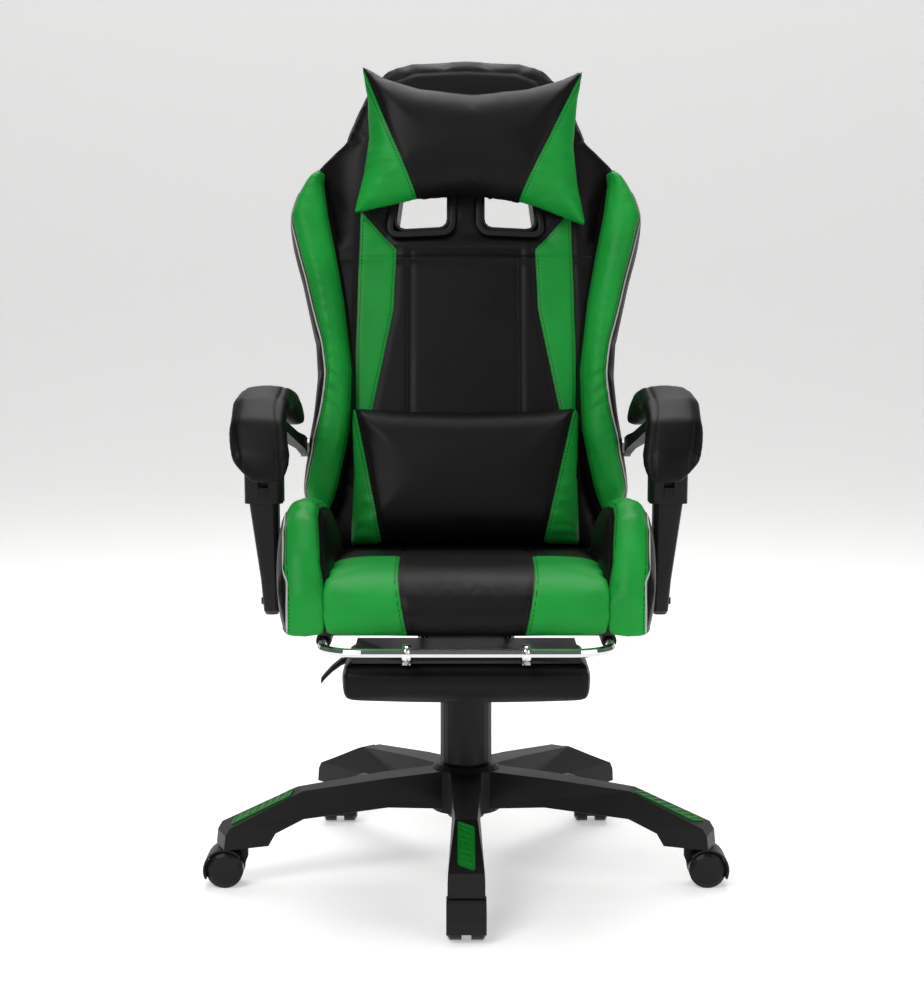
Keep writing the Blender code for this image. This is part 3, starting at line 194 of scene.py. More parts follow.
def black_plastic(name, colour, roughness, grain_mm=0.5, relief=0.00004):
    """Moulded black plastic: a fine even grain, and faint smears in its gloss from the mould."""
    made, tree, shader = new_finish(name, Roughness=roughness, IOR=1.5, Specular_IOR_Level=0.22)
    place = add(tree, "ShaderNodeTexCoord").outputs["Object"]
    smear = add(tree, "ShaderNodeTexNoise", {"Vector": place, "Scale": 22.0, "Detail": 4.0})
    colours = add(tree, "ShaderNodeMix", {0: smear.outputs["Fac"], 6: linear(colour),
                                          7: [c * 1.25 for c in linear(colour)]}, data_type="RGBA")
    gloss = add(tree, "ShaderNodeMapRange", {"Value": smear.outputs["Fac"],
                                             "To Min": roughness - 0.05,
                                             "To Max": roughness + 0.07})
    grain = add(tree, "ShaderNodeTexNoise", {"Vector": place, "Scale": 1000 / grain_mm,
                                             "Detail": 2.0})
    bump = add(tree, "ShaderNodeBump", {"Height": grain.outputs["Fac"], "Strength": 0.5,
                                        "Distance": relief})
    tree.links.new(colours.outputs[2], shader.inputs["Base Color"])
    tree.links.new(gloss.outputs["Result"], shader.inputs["Roughness"])
    tree.links.new(bump.outputs["Normal"], shader.inputs["Normal"])
    return made


def dress(finish, *nodes):
    """Gives CAD nodes their finish."""
    for name in nodes:
        data = frame["nodes"][name].data
        data.materials.clear()
        data.materials.append(finish)


# A grain of about half a millimetre breaks the highlight up: the nylon looks satin, not wet.
textured_nylon = black_plastic("textured_nylon", "0F0F0E", 0.44)
smooth_nylon = black_plastic("smooth_wheel_nylon", "0D0D0D", 0.36, grain_mm=1.2, relief=0.00002)
green_insert = black_plastic("moulded_green_abs", INSERT_GREEN, 0.36)

dress(textured_nylon, "star_base", "gas_bushing", "cover_lower", "cover_middle", "cover_upper",
      *[f"caster_fork_{i}" for i in range(1, 6)])
dress(smooth_nylon, *[f"caster_wheels_{i}" for i in range(1, 6)])

slope = LEG_TIP - LEG_KINK
slope_angle = math.atan2(-slope.y, slope.x)
for number in range(5):
    heading = math.radians(-90 + 72 * number)
    length = slope.length * (INSERT_END - INSERT_START)
    shape = bmesh.new()
    bmesh.ops.create_grid(shape, x_segments=1, y_segments=1, size=0.5)
    bmesh.ops.scale(shape, verts=shape.verts, vec=(length, 2 * INSERT_HALF, 1))
    for vert in shape.verts:
        vert.co.x += INSERT_SKEW * (1 if vert.co.y > 0 else -1)
    bmesh.ops.bevel(shape, geom=shape.verts[:], offset=INSERT_CORNER, segments=3, profile=0.5,
                    affect="VERTICES", material=-1)
    raised = bmesh.ops.extrude_face_region(shape, geom=shape.faces[:])["geom"]
    top = [g for g in raised if isinstance(g, bmesh.types.BMFace)]
    bmesh.ops.translate(shape, verts=moved_points(raised), vec=(0, 0, INSERT_HEIGHT))
    bmesh.ops.inset_region(shape, faces=top, thickness=FRAME_WIDTH, depth=0.0)
    bmesh.ops.inset_region(shape, faces=top, thickness=GROOVE_WIDTH, depth=-GROOVE_DEPTH)
    rib_step = (length - 0.010) / RIBS
    for rib in range(RIBS):
        middle = (rib - (RIBS - 1) / 2) * rib_step
        made = bmesh.ops.create_cube(shape, size=1)["verts"]
        bmesh.ops.scale(shape, verts=made, vec=(rib_step * RIB_SHARE, 2 * INSERT_HALF - RIB_MARGIN,
                                                RIB_THICKNESS))
        for vert in made:
            vert.co.x += middle + vert.co.y * INSERT_SKEW / INSERT_HALF
            vert.co.z += INSERT_HEIGHT / 2
        edges = list({e for v in made for e in v.link_edges
                      if all(w.co.z > INSERT_HEIGHT / 2 for w in e.verts)})
        bmesh.ops.bevel(shape, geom=edges, offset=0.0006, segments=2, profile=0.5,
                        affect="EDGES", material=-1)
    bmesh.ops.recalc_face_normals(shape, faces=shape.faces)
    centre = LEG_KINK + slope * (INSERT_START + INSERT_END) / 2
    turn = Matrix.Rotation(heading, 4, "Z") @ Matrix.Translation((centre.x, 0, centre.y))
    turn = Matrix.Translation((0, COLUMN_Y, 0)) @ turn @ Matrix.Rotation(slope_angle, 4, "Y")
    bmesh.ops.transform(shape, matrix=turn, verts=shape.verts)
    name = f"leg_insert_{number + 1}"
    new_piece(name, finished(shape, name), green_insert, "base")


# ---------------------------------------------------------------- steel under the seat
# Pressed and welded steel in black stoved enamel, zinc-plated pins, and nylon knobs and grips.

enamel, tree, shader = new_finish("black_stoved_enamel", Roughness=0.34, Specular_IOR_Level=0.3)
place = add(tree, "ShaderNodeTexCoord").outputs["Object"]
peel = add(tree, "ShaderNodeTexNoise", {"Vector": place, "Scale": 420.0, "Detail": 2.0})
cloud = add(tree, "ShaderNodeTexNoise", {"Vector": place, "Scale": 14.0, "Detail": 3.0})
colours = add(tree, "ShaderNodeMix", {0: cloud.outputs["Fac"], 6: linear("0C0C0D"),
                                      7: linear("151516")}, data_type="RGBA")
bump = add(tree, "ShaderNodeBump", {"Height": peel.outputs["Fac"], "Strength": 0.25,
                                    "Distance": 0.00006})
tree.links.new(colours.outputs[2], shader.inputs["Base Color"])
tree.links.new(bump.outputs["Normal"], shader.inputs["Normal"])


def bare_metal(name, colour, roughness, scratch):
    """Metal with fine scratches running round it, which stretch the highlight."""
    made, tree, shader = new_finish(name, Metallic=1.0, Roughness=roughness)
    place = add(tree, "ShaderNodeTexCoord").outputs["Object"]
    stretched = add(tree, "ShaderNodeMapping", {"Vector": place, "Scale": (900, 40, 900)})
    lines = add(tree, "ShaderNodeTexNoise", {"Vector": stretched.outputs["Vector"], "Scale": 1.0,
                                             "Detail": 2.0})
    haze = add(tree, "ShaderNodeTexNoise", {"Vector": place, "Scale": 30.0, "Detail": 3.0})
    gloss = add(tree, "ShaderNodeMapRange", {"Value": haze.outputs["Fac"],
                                             "To Min": roughness * 0.7,
                                             "To Max": roughness * 1.5})
    colours = add(tree, "ShaderNodeMix", {0: haze.outputs["Fac"], 6: linear(colour),
                                          7: [c * 0.88 for c in linear(colour)]}, data_type="RGBA")
    bump = add(tree, "ShaderNodeBump", {"Height": lines.outputs["Fac"], "Strength": scratch,
                                        "Distance": 0.00003})
    tree.links.new(colours.outputs[2], shader.inputs["Base Color"])
    tree.links.new(gloss.outputs["Result"], shader.inputs["Roughness"])
    tree.links.new(bump.outputs["Normal"], shader.inputs["Normal"])
    return made


# Bright zinc is slightly blue and hazy; only the footrest's chromed tube and clips are mirrors.
zinc = bare_metal("bright_zinc_plate", "B9BBBD", 0.30, 0.4)
chrome = bare_metal("chromed_tube", "DADCDD", 0.11, 0.1)

dress(enamel, "gas_tube", "tilt_housing", "tilt_plate", "lever_bush", "lever_rod", "seat_frame",
      "back_frame", *[f"{name}_{s}" for name in ("recliner_lower", "recliner_upper", "arm_bracket")
                      for s in "lr"])
dress(zinc, "gas_piston", "tilt_pin", "arm_stud_l", "arm_stud_r")
dress(chrome, "footrest_tube")
dress(textured_nylon, "tension_knob", "lever_grip", "recline_lever",
      *[f"{name}_{s}" for name in ("footrest_guide", "recliner_cover", "window_bezel", "arm_frame",
                                   "arm_leg") for s in "lr"])

# The footrest's board is black lacquered plywood, and the two clips that hold it to the tube are
# chromed.
CLIP_X, CLIP_REACH, CLIP_SHARE = 0.075, 0.017, 0.36   # where a clip stands, half its solid's loop,
CLIP_DEPTH = 0.0085                                   # the share of that it keeps, and its depth
board_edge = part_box("footrest_cushion")[0].y
clip_board, tree, shader = new_finish("lacquered_board_with_chromed_clips", Roughness=0.35,
                                      Specular_IOR_Level=0.3)
place = add(tree, "ShaderNodeTexCoord").outputs["Object"]
ahead = add(tree, "ShaderNodeSeparateXYZ", {"Vector": place}).outputs["Y"]
at_bar = add(tree, "ShaderNodeMath", {0: ahead, 1: board_edge}, operation="LESS_THAN").outputs[0]
wood = add(tree, "ShaderNodeTexNoise", {"Vector": place, "Scale": 35.0, "Detail": 4.0})
lacquer = add(tree, "ShaderNodeMix", {0: wood.outputs["Fac"], 6: linear("121110"),
                                      7: linear("1B1A18")}, data_type="RGBA")
colours = add(tree, "ShaderNodeMix", {0: at_bar, 6: lacquer.outputs[2], 7: linear("DADCDD")},
              data_type="RGBA")
gloss = add(tree, "ShaderNodeMapRange", {"Value": at_bar, "To Min": 0.4, "To Max": 0.12})
tree.links.new(colours.outputs[2], shader.inputs["Base Color"])
tree.links.new(gloss.outputs["Result"], shader.inputs["Roughness"])
tree.links.new(at_bar, shader.inputs["Metallic"])
board = bmesh.new()
board.from_mesh(frame["nodes"]["footrest_board"].data)
bmesh.ops.remove_doubles(board, verts=board.verts, dist=0.00001)
for vert in board.verts:
    if vert.co.y < board_edge + CLIP_DEPTH and abs(abs(vert.co.x) - CLIP_X) < CLIP_REACH:
        middle = math.copysign(CLIP_X, vert.co.x)
        vert.co.x = middle + (vert.co.x - middle) * CLIP_SHARE
mesh = finished(board, "footrest_plate")
mesh.shade_smooth()
mesh.set_sharp_from_angle(angle=math.radians(40))
plate = new_piece("footrest_plate", mesh, clip_board, "footrest_flip")
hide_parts("footrest_board")

# A block moulded into each knuckle's slot closes it in front, below the arm's tongue.
BLOCK_SIZE = (0.0138, 0.006, 0.0165)
BLOCK_BEHIND, BLOCK_BELOW = 0.0052, 0.0312    # of its middle, from the leg's front and top
for s in "lr":
    leg_low, leg_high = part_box(f"arm_leg_{s}")
    shape = bmesh.new()
    bmesh.ops.create_cube(shape, size=1)
    bmesh.ops.scale(shape, verts=shape.verts, vec=BLOCK_SIZE)
    bmesh.ops.bevel(shape, geom=shape.edges[:], offset=0.0006, segments=2, profile=0.5,
                    affect="EDGES", material=-1)
    bmesh.ops.translate(shape, verts=shape.verts, vec=((leg_low.x + leg_high.x) / 2,
                                                       leg_low.y + BLOCK_BEHIND,
                                                       leg_high.z - BLOCK_BELOW))
    name = f"knuckle_block_{s}"
    new_piece(name, finished(shape, name), textured_nylon, f"arm_leg_{s}")


# ---------------------------------------------------------------- bucket seat
# Moulded foam under PU leatherette: a black centre stripe and rear, green front panels, and raised
# side bolsters in green with black inner walls and side panels. Panels meet in drawn-in,
# top-stitched seams.

BLACK_HIDE = "0B0B0A"
GREEN_HIDE = "178A33"
PIPING_GREY = "B4B5B3"
STRIPE_TOP, STRIPE_BOTTOM = 0.087, 0.075      # half widths of the black stripe: crest and skirt
CROSS_SEAM_Y = -0.120
SEAT_VOXEL = 0.0055
GRAIN_MM = 1.5                                # coarser than real, so that it shows
STITCH_GAP, STITCH_PITCH = 0.0042, 0.0052     # from the seam, and from stitch to stitch
THREAD_HALF, THREAD_SHARE = 0.00055, 0.68     # half its width, and how much of a pitch it fills
FILL_FRAMES, FILL_QUALITY = 9, 3              # of each piece's cloth simulation


def leatherette(name, colour, other=None, roughness=0.43):
    """PU leatherette: embossed pebble grain under a satin skin, softly uneven where it is handled,
    and darkened into each seam by painted shade.

    Attributes on the piece draw it: "panel" is above 0 in the second colour, "seam" is the distance
    to the nearest seam, which also sets the painted seam shade, and "run" the length along it,
    which spaces the stitches, all in metres.
    """
    made, tree, shader = new_finish(name, Roughness=roughness, Specular_IOR_Level=0.14)
    place = add(tree, "ShaderNodeTexCoord").outputs["Object"]
    seam = add(tree, "ShaderNodeAttribute", attribute_name="seam").outputs["Fac"]
    run = add(tree, "ShaderNodeAttribute", attribute_name="run").outputs["Fac"]
    tone = add(tree, "ShaderNodeTexNoise", {"Vector": place, "Scale": 9.0, "Detail": 5.0})
    wear = add(tree, "ShaderNodeMapRange", {"Value": tone.outputs["Fac"], "From Min": 0.3,
                                            "From Max": 0.7, "To Min": 0.86, "To Max": 1.16})
    hide = add(tree, "ShaderNodeRGB").outputs[0]
    hide.default_value = linear(colour)
    if other:
        panel = add(tree, "ShaderNodeAttribute", attribute_name="panel").outputs["Fac"]
        chosen = add(tree, "ShaderNodeMath", {0: panel, 1: 0.0}, operation="GREATER_THAN")
        hide = add(tree, "ShaderNodeMix", {0: chosen.outputs[0], 6: hide, 7: linear(other)},
                   data_type="RGBA").outputs[2]
    # Painted shade: the colour falls to a quarter at a seam and is back to full 2.2 mm from it,
    # standing in for the shadow in the drawn-in crease.
    painted_seam_shade = add(tree, "ShaderNodeMapRange", {"Value": seam, "From Max": 0.0022, "To Min": 0.25,
                                              "To Max": 1.0})
    wear_and_painted_seam_shade = add(tree, "ShaderNodeMath", {0: wear.outputs["Result"], 1: painted_seam_shade.outputs["Result"]},
                operation="MULTIPLY")
    beyond = add(tree, "ShaderNodeMath", {0: seam, 1: STITCH_GAP}, operation="SUBTRACT")
    offset = add(tree, "ShaderNodeMath", {0: beyond.outputs[0]}, operation="ABSOLUTE")
    on_line = add(tree, "ShaderNodeMath", {0: offset.outputs[0], 1: THREAD_HALF},
                  operation="LESS_THAN")
    pitches = add(tree, "ShaderNodeMath", {0: run, 1: STITCH_PITCH}, operation="DIVIDE")
    phase = add(tree, "ShaderNodeMath", {0: pitches.outputs[0]}, operation="FRACT")
    on_dash = add(tree, "ShaderNodeMath", {0: phase.outputs[0], 1: THREAD_SHARE},
                  operation="LESS_THAN")
    stitch = add(tree, "ShaderNodeMath", {0: on_line.outputs[0], 1: on_dash.outputs[0]},
                 operation="MULTIPLY").outputs[0]
    # The hide colour times the random wear tone and the painted seam shade.
    shaded = add(tree, "ShaderNodeVectorMath", {0: hide, "Scale": wear_and_painted_seam_shade.outputs[0]},
                 operation="SCALE")
    thread = add(tree, "ShaderNodeMix", {0: stitch, 6: shaded.outputs[0], 7: linear("1E1E1D")},
                 data_type="RGBA")
    cells = add(tree, "ShaderNodeTexVoronoi", {"Vector": place, "Scale": 1000 / GRAIN_MM},
                feature="SMOOTH_F1")
    pores = add(tree, "ShaderNodeTexNoise", {"Vector": place, "Scale": 260.0, "Detail": 3.0})
    pebbles = add(tree, "ShaderNodeMath", {0: cells.outputs["Distance"], 1: 0.6},
                  operation="MULTIPLY")
    skin = add(tree, "ShaderNodeMath", {0: pebbles.outputs[0], 1: pores.outputs["Fac"]},
               operation="ADD")
    cord = add(tree, "ShaderNodeMath", {0: stitch, 1: 1.6}, operation="MULTIPLY")
    relief = add(tree, "ShaderNodeMath", {0: skin.outputs[0], 1: cord.outputs[0]}, operation="ADD")
    bump = add(tree, "ShaderNodeBump", {"Height": relief.outputs[0], "Strength": 0.45,
                                        "Distance": 0.00022})
    gloss = add(tree, "ShaderNodeMapRange", {"Value": tone.outputs["Fac"], "From Min": 0.3,
                                             "From Max": 0.7, "To Min": roughness - 0.05,
                                             "To Max": roughness + 0.06})
    tree.links.new(thread.outputs[2], shader.inputs["Base Color"])
    tree.links.new(gloss.outputs["Result"], shader.inputs["Roughness"])
    tree.links.new(bump.outputs["Normal"], shader.inputs["Normal"])
    return made


def copy_of(*nodes):
    """The CAD solids of these nodes in one mesh, with their loose triangles merged."""
    shape = bmesh.new()
    for name in nodes:
        shape.from_mesh(frame["nodes"][name].data)
    bmesh.ops.remove_doubles(shape, verts=shape.verts, dist=0.00001)
    return shape


def applied(piece):
    """Applies the piece's modifiers to its mesh."""
    evaluated = piece.evaluated_get(bpy.context.evaluated_depsgraph_get())
    mesh = bpy.data.meshes.new_from_object(evaluated)
    piece.modifiers.clear()
    piece.data = mesh


def points_of(piece):
    flat = np.empty(len(piece.data.vertices) * 3)
    piece.data.vertices.foreach_get("co", flat)
    return flat.reshape(-1, 3)


def set_points(piece, points):
    piece.data.vertices.foreach_set("co", np.asarray(points, np.float32).ravel())
    piece.data.update()


def stuffed(name, shape, voxel, swell, rounding=6, pressure=4.0, model=None):
    """Makes a closed shape a padded one: an even skin, rounded, then filled until it swells.

    `model` may move the even skin's points before it is filled, and no point swells further than
    `swell`. The piece ends with one subdivision applied.
    """
    piece = bpy.data.objects.new(name, finished(shape, name))
    scene.collection.objects.link(piece)
    skin = piece.modifiers.new("even_skin", "REMESH")
    skin.mode, skin.voxel_size = "VOXEL", voxel
    applied(piece)
    if model:
        set_points(piece, model(points_of(piece)))
    soft = piece.modifiers.new("soft_edges", "SMOOTH")
    soft.factor, soft.iterations = 0.5, rounding
    applied(piece)
    if swell:
        start = points_of(piece)
        cloth = piece.modifiers.new("filling", "CLOTH")
        cloth.settings.use_pressure = True
        cloth.settings.uniform_pressure_force = pressure
        cloth.settings.effector_weights.gravity = 0
        cloth.settings.quality = FILL_QUALITY
        cloth.point_cache.frame_start, cloth.point_cache.frame_end = 1, FILL_FRAMES
        for step in range(1, FILL_FRAMES + 1):
            scene.frame_set(step)
        applied(piece)
        moved = points_of(piece) - start
        reach = np.linalg.norm(moved, axis=1, keepdims=True)
        set_points(piece, start + moved * np.minimum(1, swell / np.maximum(reach, 1e-9)))
        scene.frame_set(1)
    fine = piece.modifiers.new("fine_skin", "SUBSURF")
    fine.levels = fine.render_levels = 1
    applied(piece)
    piece.data.shade_smooth()
    return piece


def along_line(points, line):
    """Each flat point's distance from a drawn line, and how far along the line it is nearest."""
    start, end = np.array(line[:-1], float), np.array(line[1:], float)
    edge = end - start
    length = np.linalg.norm(edge, axis=1)
    before = np.concatenate([[0], np.cumsum(length)[:-1]])
    gap = points[:, None, :] - start[None]
    share = np.clip((gap * edge).sum(-1) / length**2, 0, 1)
    apart = np.linalg.norm(gap - share[..., None] * edge, axis=-1)
    nearest = apart.argmin(1)
    rows = np.arange(len(points))
    return apart[rows, nearest], (before + share * length)[rows, nearest]


def inside(points, outline):
    """How far each flat point lies inside a closed outline; below 0 outside it."""
    corners = np.array(outline, float)
    following = np.roll(corners, -1, axis=0)
    apart, _ = along_line(points, [*outline, outline[0]])
    x, y = points[:, :1], points[:, 1:]
    straddles = (corners[:, 1] > y) != (following[:, 1] > y)
    rise = np.where(following[:, 1] == corners[:, 1], 1e-12, following[:, 1] - corners[:, 1])
    left = x < (following[:, 0] - corners[:, 0]) * (y - corners[:, 1]) / rise + corners[:, 0]
    return np.where((straddles & left).sum(1) % 2 == 1, apart, -apart)


def sew(piece, seam, run, panel=None, depth=0.0016, width=0.0045):
    """Draws the skin in along its seams and keeps what the leatherette needs to draw them."""
    normals = np.empty(len(piece.data.vertices) * 3)
    piece.data.vertices.foreach_get("normal", normals)
    pulled = depth * np.exp(-((seam / width) ** 2))
    set_points(piece, points_of(piece) - normals.reshape(-1, 3) * pulled[:, None])
    for key, values in (("seam", seam), ("run", run), ("panel", panel)):
        if values is not None:
            attribute = piece.data.attributes.new(key, "FLOAT", "POINT")
            attribute.data.foreach_set("value", np.asarray(values, np.float32))


def upholstered(piece, finish, body, slot, fill, *nodes):
    piece.data.materials.clear()
    piece.data.materials.append(finish)
    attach(piece, body)
    if nodes:
        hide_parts(*nodes)
    return piece


def mirror_of(piece, name):
    """The same piece for the other side."""
    shape = bmesh.new()
    shape.from_mesh(piece.data)
    bmesh.ops.scale(shape, vec=(-1, 1, 1), verts=shape.verts)
    bmesh.ops.reverse_faces(shape, faces=shape.faces)
    twin = bpy.data.objects.new(name, finished(shape, name))
    scene.collection.objects.link(twin)
    return twin


def surface_of(piece):
    return BVHTree.FromPolygons([v.co.copy() for v in piece.data.vertices],
                                [p.vertices[:] for p in piece.data.polygons])


def piping(name, points, finish, body, radius):
    """A thin corded edge that is sewn between two panels, through these points."""
    line = bpy.data.curves.new(name, "CURVE")
    line.dimensions, line.use_fill_caps = "3D", True
    line.bevel_depth, line.bevel_resolution = radius, 2
    spline = line.splines.new("NURBS")
    spline.points.add(len(points) - 1)
    for at, point in zip(spline.points, points):
        at.co = (*point, 1)
    spline.order_u, spline.use_endpoint_u, spline.resolution_u = 4, True, 3
    return new_piece(name, line, finish, body)


# Leatherette shows a soft highlight a few centimetres wide; its grain only just breaks it.
black_hide = leatherette("black_pu_leatherette", BLACK_HIDE)
two_tone_hide = leatherette("black_and_green_pu_leatherette", BLACK_HIDE, GREEN_HIDE)
cord_grey, tree, shader = new_finish("grey_pvc_piping", Roughness=0.35)
place = add(tree, "ShaderNodeTexCoord").outputs["Object"]
shine = add(tree, "ShaderNodeTexNoise", {"Vector": place, "Scale": 60.0, "Detail": 2.0})
colours = add(tree, "ShaderNodeMix", {0: shine.outputs["Fac"], 6: linear(PIPING_GREY),
                                      7: linear("9C9D9B")}, data_type="RGBA")
tree.links.new(colours.outputs[2], shader.inputs["Base Color"])

cushion_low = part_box("seat_cushion")[0]


def tuck_in(points):
    """Widens the cushion's upper half, so that its sides press into the bolsters."""
    x, y, z = points.T
    above = np.clip((z - cushion_low.z - 0.006) / 0.006, 0, 1)
    return np.stack([x * (1 + 0.030 * above), y, z], 1)


seat_pad = stuffed("seat_pad", copy_of("seat_cushion"), SEAT_VOXEL, swell=0.007, rounding=8,
                   model=tuck_in)
x, y, z = points_of(seat_pad).T
y = y - COLUMN_Y
rise = np.clip((z - cushion_low.z) / 0.070, 0, 1)
stripe = STRIPE_BOTTOM + (STRIPE_TOP - STRIPE_BOTTOM) * rise
beside = np.abs(x) - stripe
panel = np.minimum(beside, CROSS_SEAM_Y - y)
cross = np.where(beside > 0, np.abs(y - CROSS_SEAM_Y), np.hypot(beside, y - CROSS_SEAM_Y))
seam = np.minimum(np.abs(beside), cross)
run = np.where(np.abs(beside) < cross, y - z, np.abs(x))
behind_front = y > cushion_low.y + 0.05 - COLUMN_Y
underneath = (z < cushion_low.z + 0.004) | (behind_front & (z < cushion_low.z + 0.024))
sew(seat_pad, np.where(underneath, 1.0, seam), run, panel)
upholstered(seat_pad, two_tone_hide, "seat", "black_upholstery", 0.85, "seat_cushion")

bolster_low, bolster_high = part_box("seat_bolster_l")
BOLSTER_FRONT = bolster_low.y
FRAME_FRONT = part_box("seat_frame")[0].y
PIPING_INSET = 0.0075                        # of the piping inside the bolster's widest point
PIPING_TUCK = ([BOLSTER_FRONT, BOLSTER_FRONT + 0.026, BOLSTER_FRONT + 0.073], [0.008, 0.003, 0.0])
WALL_SEAM = ([BOLSTER_FRONT + 0.004, BOLSTER_FRONT + 0.035, BOLSTER_FRONT + 0.09],
             [bolster_low.x - 0.004, bolster_low.x + 0.008, bolster_low.x + 0.014])


def fill_front(points):
    """Brings the bolster's foot down to the skirt in front of the steel frame, where it is free."""
    x, y, z = points.T
    floor = cushion_low.z + 0.0175
    free = (x < bolster_low.x + 0.030) * (y < FRAME_FRONT - 0.001)
    hanging = np.clip((floor + 0.012 - z) / 0.012, 0, 1) * free
    lowered = np.maximum(z - hanging * 0.0185, np.minimum(z, bolster_low.z))
    return np.stack([x, y, lowered], 1)


bolster = stuffed("seat_bolster_pad_l", copy_of("seat_bolster_l"), 0.0045, swell=0.004, rounding=9,
                  model=fill_front)
x, y, z = points_of(bolster).T
outer_seam = bolster_high.x - PIPING_INSET - np.interp(y, *PIPING_TUCK)
panel = np.minimum(x - np.interp(y, *WALL_SEAM), outer_seam - x)
high_up = z > bolster_low.z + 0.006
sew(bolster, np.where(high_up, np.abs(panel), 1.0), y - z, panel)
tree_of_bolster = surface_of(bolster)
edge = []
for share in np.linspace(0, 1, 24):
    at_y = bolster_high.y - 0.006 - share * (bolster_high.y - BOLSTER_FRONT - 0.030)
    at_x = bolster_high.x - PIPING_INSET - float(np.interp(at_y, *PIPING_TUCK))
    edge.append(tree_of_bolster.ray_cast(Vector((at_x, at_y, 0.8)), Vector((0, 0, -1)))[0])
crest = edge[-1].z
for share in np.linspace(0.08, 1, 12):
    at_z = crest - share * (crest - bolster_low.z - 0.004)
    start = Vector((bolster_high.x - PIPING_INSET - 0.009, -0.6, at_z))
    hit = tree_of_bolster.ray_cast(start, Vector((0, 1, 0)))[0]
    if hit:
        edge.append(hit)
for s, sign in (("l", 1), ("r", -1)):
    pad = bolster if s == "l" else mirror_of(bolster, "seat_bolster_pad_r")
    upholstered(pad, two_tone_hide, "seat", "green_upholstery", 0.8, f"seat_bolster_{s}")
    piping(f"bolster_piping_{s}", [(sign * p.x, p.y, p.z) for p in edge], cord_grey, "seat",
           radius=0.0014)


# ---------------------------------------------------------------- reclining back
# One moulded foam back on a tube frame: a black centre with a sewn field and two green strips, a
# padded head with two plastic-lined windows, green side wings, and a flat black cover behind.
# Outlines are x and distance up the back from the recline hinge.

joint = {j["name"]: j for j in frame["joints"]}
HINGE = Vector(joint["back_recline"]["pos_m"])
UP_BACK = Vector(joint["lumbar_pillow_slide"]["axis"]).normalized()
OFF_BACK = Vector((0, -UP_BACK.z, UP_BACK.y))
ON_BACK = Matrix((Vector((1, 0, 0)), UP_BACK, OFF_BACK)).transposed().to_4x4()
ON_BACK.translation = HINGE
HEAD_SHAPE = [(0.208, 0.440), (0.208, 0.520), (0.232, 0.545), (0.233, 0.566), (0.214, 0.588),
              (0.196, 0.602), (0.178, 0.616), (0.171, 0.634), (0.144, 0.700), (0.119, 0.730),
              (0.083, 0.744), (0.0, 0.749)]
WINDOW = [(0.0235, 0.4795), (0.1085, 0.4755), (0.0945, 0.5825), (0.0235, 0.5975)]
WING_INSIDE = [(0.0, 0.182), (0.046, 0.182), (0.130, 0.170), (0.202, 0.1675), (0.305, 0.181),
               (0.380, 0.196), (0.440, 0.204), (0.470, 0.204)]   # distance up the back, then x
PAD_DEPTH = (0.0135, 0.047)                   # behind and in front, off the hinge
HEAD_DEPTH = (-0.0235, 0.057)
STRIP = [(0.155, 0.509), (0.102, 0.4517), (0.106, 0.3602), (0.137, 0.2072), (0.148, 0.150),
         (0.161, 0.150), (0.161, 0.300), (0.158, 0.420)]
FIELD = [(-0.081, 0.150), (-0.081, 0.4517), (0.081, 0.4517), (0.081, 0.150)]
CROWN_SEAM = [(0.150, 0.630), (0.127, 0.686), (0.106, 0.711), (0.075, 0.723), (0.0, 0.727)]
AWAY = 1.0                                    # a seam distance for skin that has no seam


def mirrored_line(line):
    """The line and its reflection, as one line through the middle."""
    return line + [(-x, up) for x, up in reversed(line) if x]


def flat_solid(depth, *outlines):
    """A flat closed body on the back, between two depths; outlines after the first are holes."""
    shape = bmesh.new()
    for outline in outlines:
        corners = [shape.verts.new((x, up, depth[0])) for x, up in outline]
        for corner, following in zip(corners, corners[1:] + corners[:1]):
            shape.edges.new((corner, following))
    bmesh.ops.triangle_fill(shape, use_beauty=True, use_dissolve=False, edges=shape.edges)
    raised = bmesh.ops.extrude_face_region(shape, geom=shape.faces[:], use_keep_orig=True)["geom"]
    bmesh.ops.translate(shape, verts=moved_points(raised), vec=(0, 0, depth[1] - depth[0]))
    bmesh.ops.recalc_face_normals(shape, faces=shape.faces)
    return shape


def on_back(points):
    """x, distance up the back and distance forward off it, of points in the chair's frame."""
    local = points - np.array(HINGE)
    return local[:, 0], local @ np.array(UP_BACK), local @ np.array(OFF_BACK)


def from_back(x, up, forward):
    """The points in the chair's frame again."""
    lifted = np.outer(up, UP_BACK)
    return np.array(HINGE) + np.outer(x, (1, 0, 0)) + lifted + np.outer(forward, OFF_BACK)


def nearest_seam(flat, lines):
    """The distance to the nearest of several seams, and the length along that seam."""
    found = [along_line(flat, line) for line in lines]
    gaps, runs = np.array([f[0] for f in found]), np.array([f[1] for f in found])
    pick = gaps.argmin(0), np.arange(len(flat))
    return gaps[pick], runs[pick]


pad_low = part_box("back_cushion")[0]
bottom = (pad_low - HINGE).dot(UP_BACK) + 0.002
edge = [(x + (0.006 if up > 0.05 else 0.010), max(up, bottom)) for up, x in WING_INSIDE]
shape = flat_solid(PAD_DEPTH, mirrored_line(edge))
head = finished(flat_solid(HEAD_DEPTH, mirrored_line(HEAD_SHAPE), WINDOW,
                           [(-x, up) for x, up in reversed(WINDOW)]), "head_shape")
shape.from_mesh(head)
bpy.data.meshes.remove(head)
bmesh.ops.transform(shape, matrix=ON_BACK, verts=shape.verts)


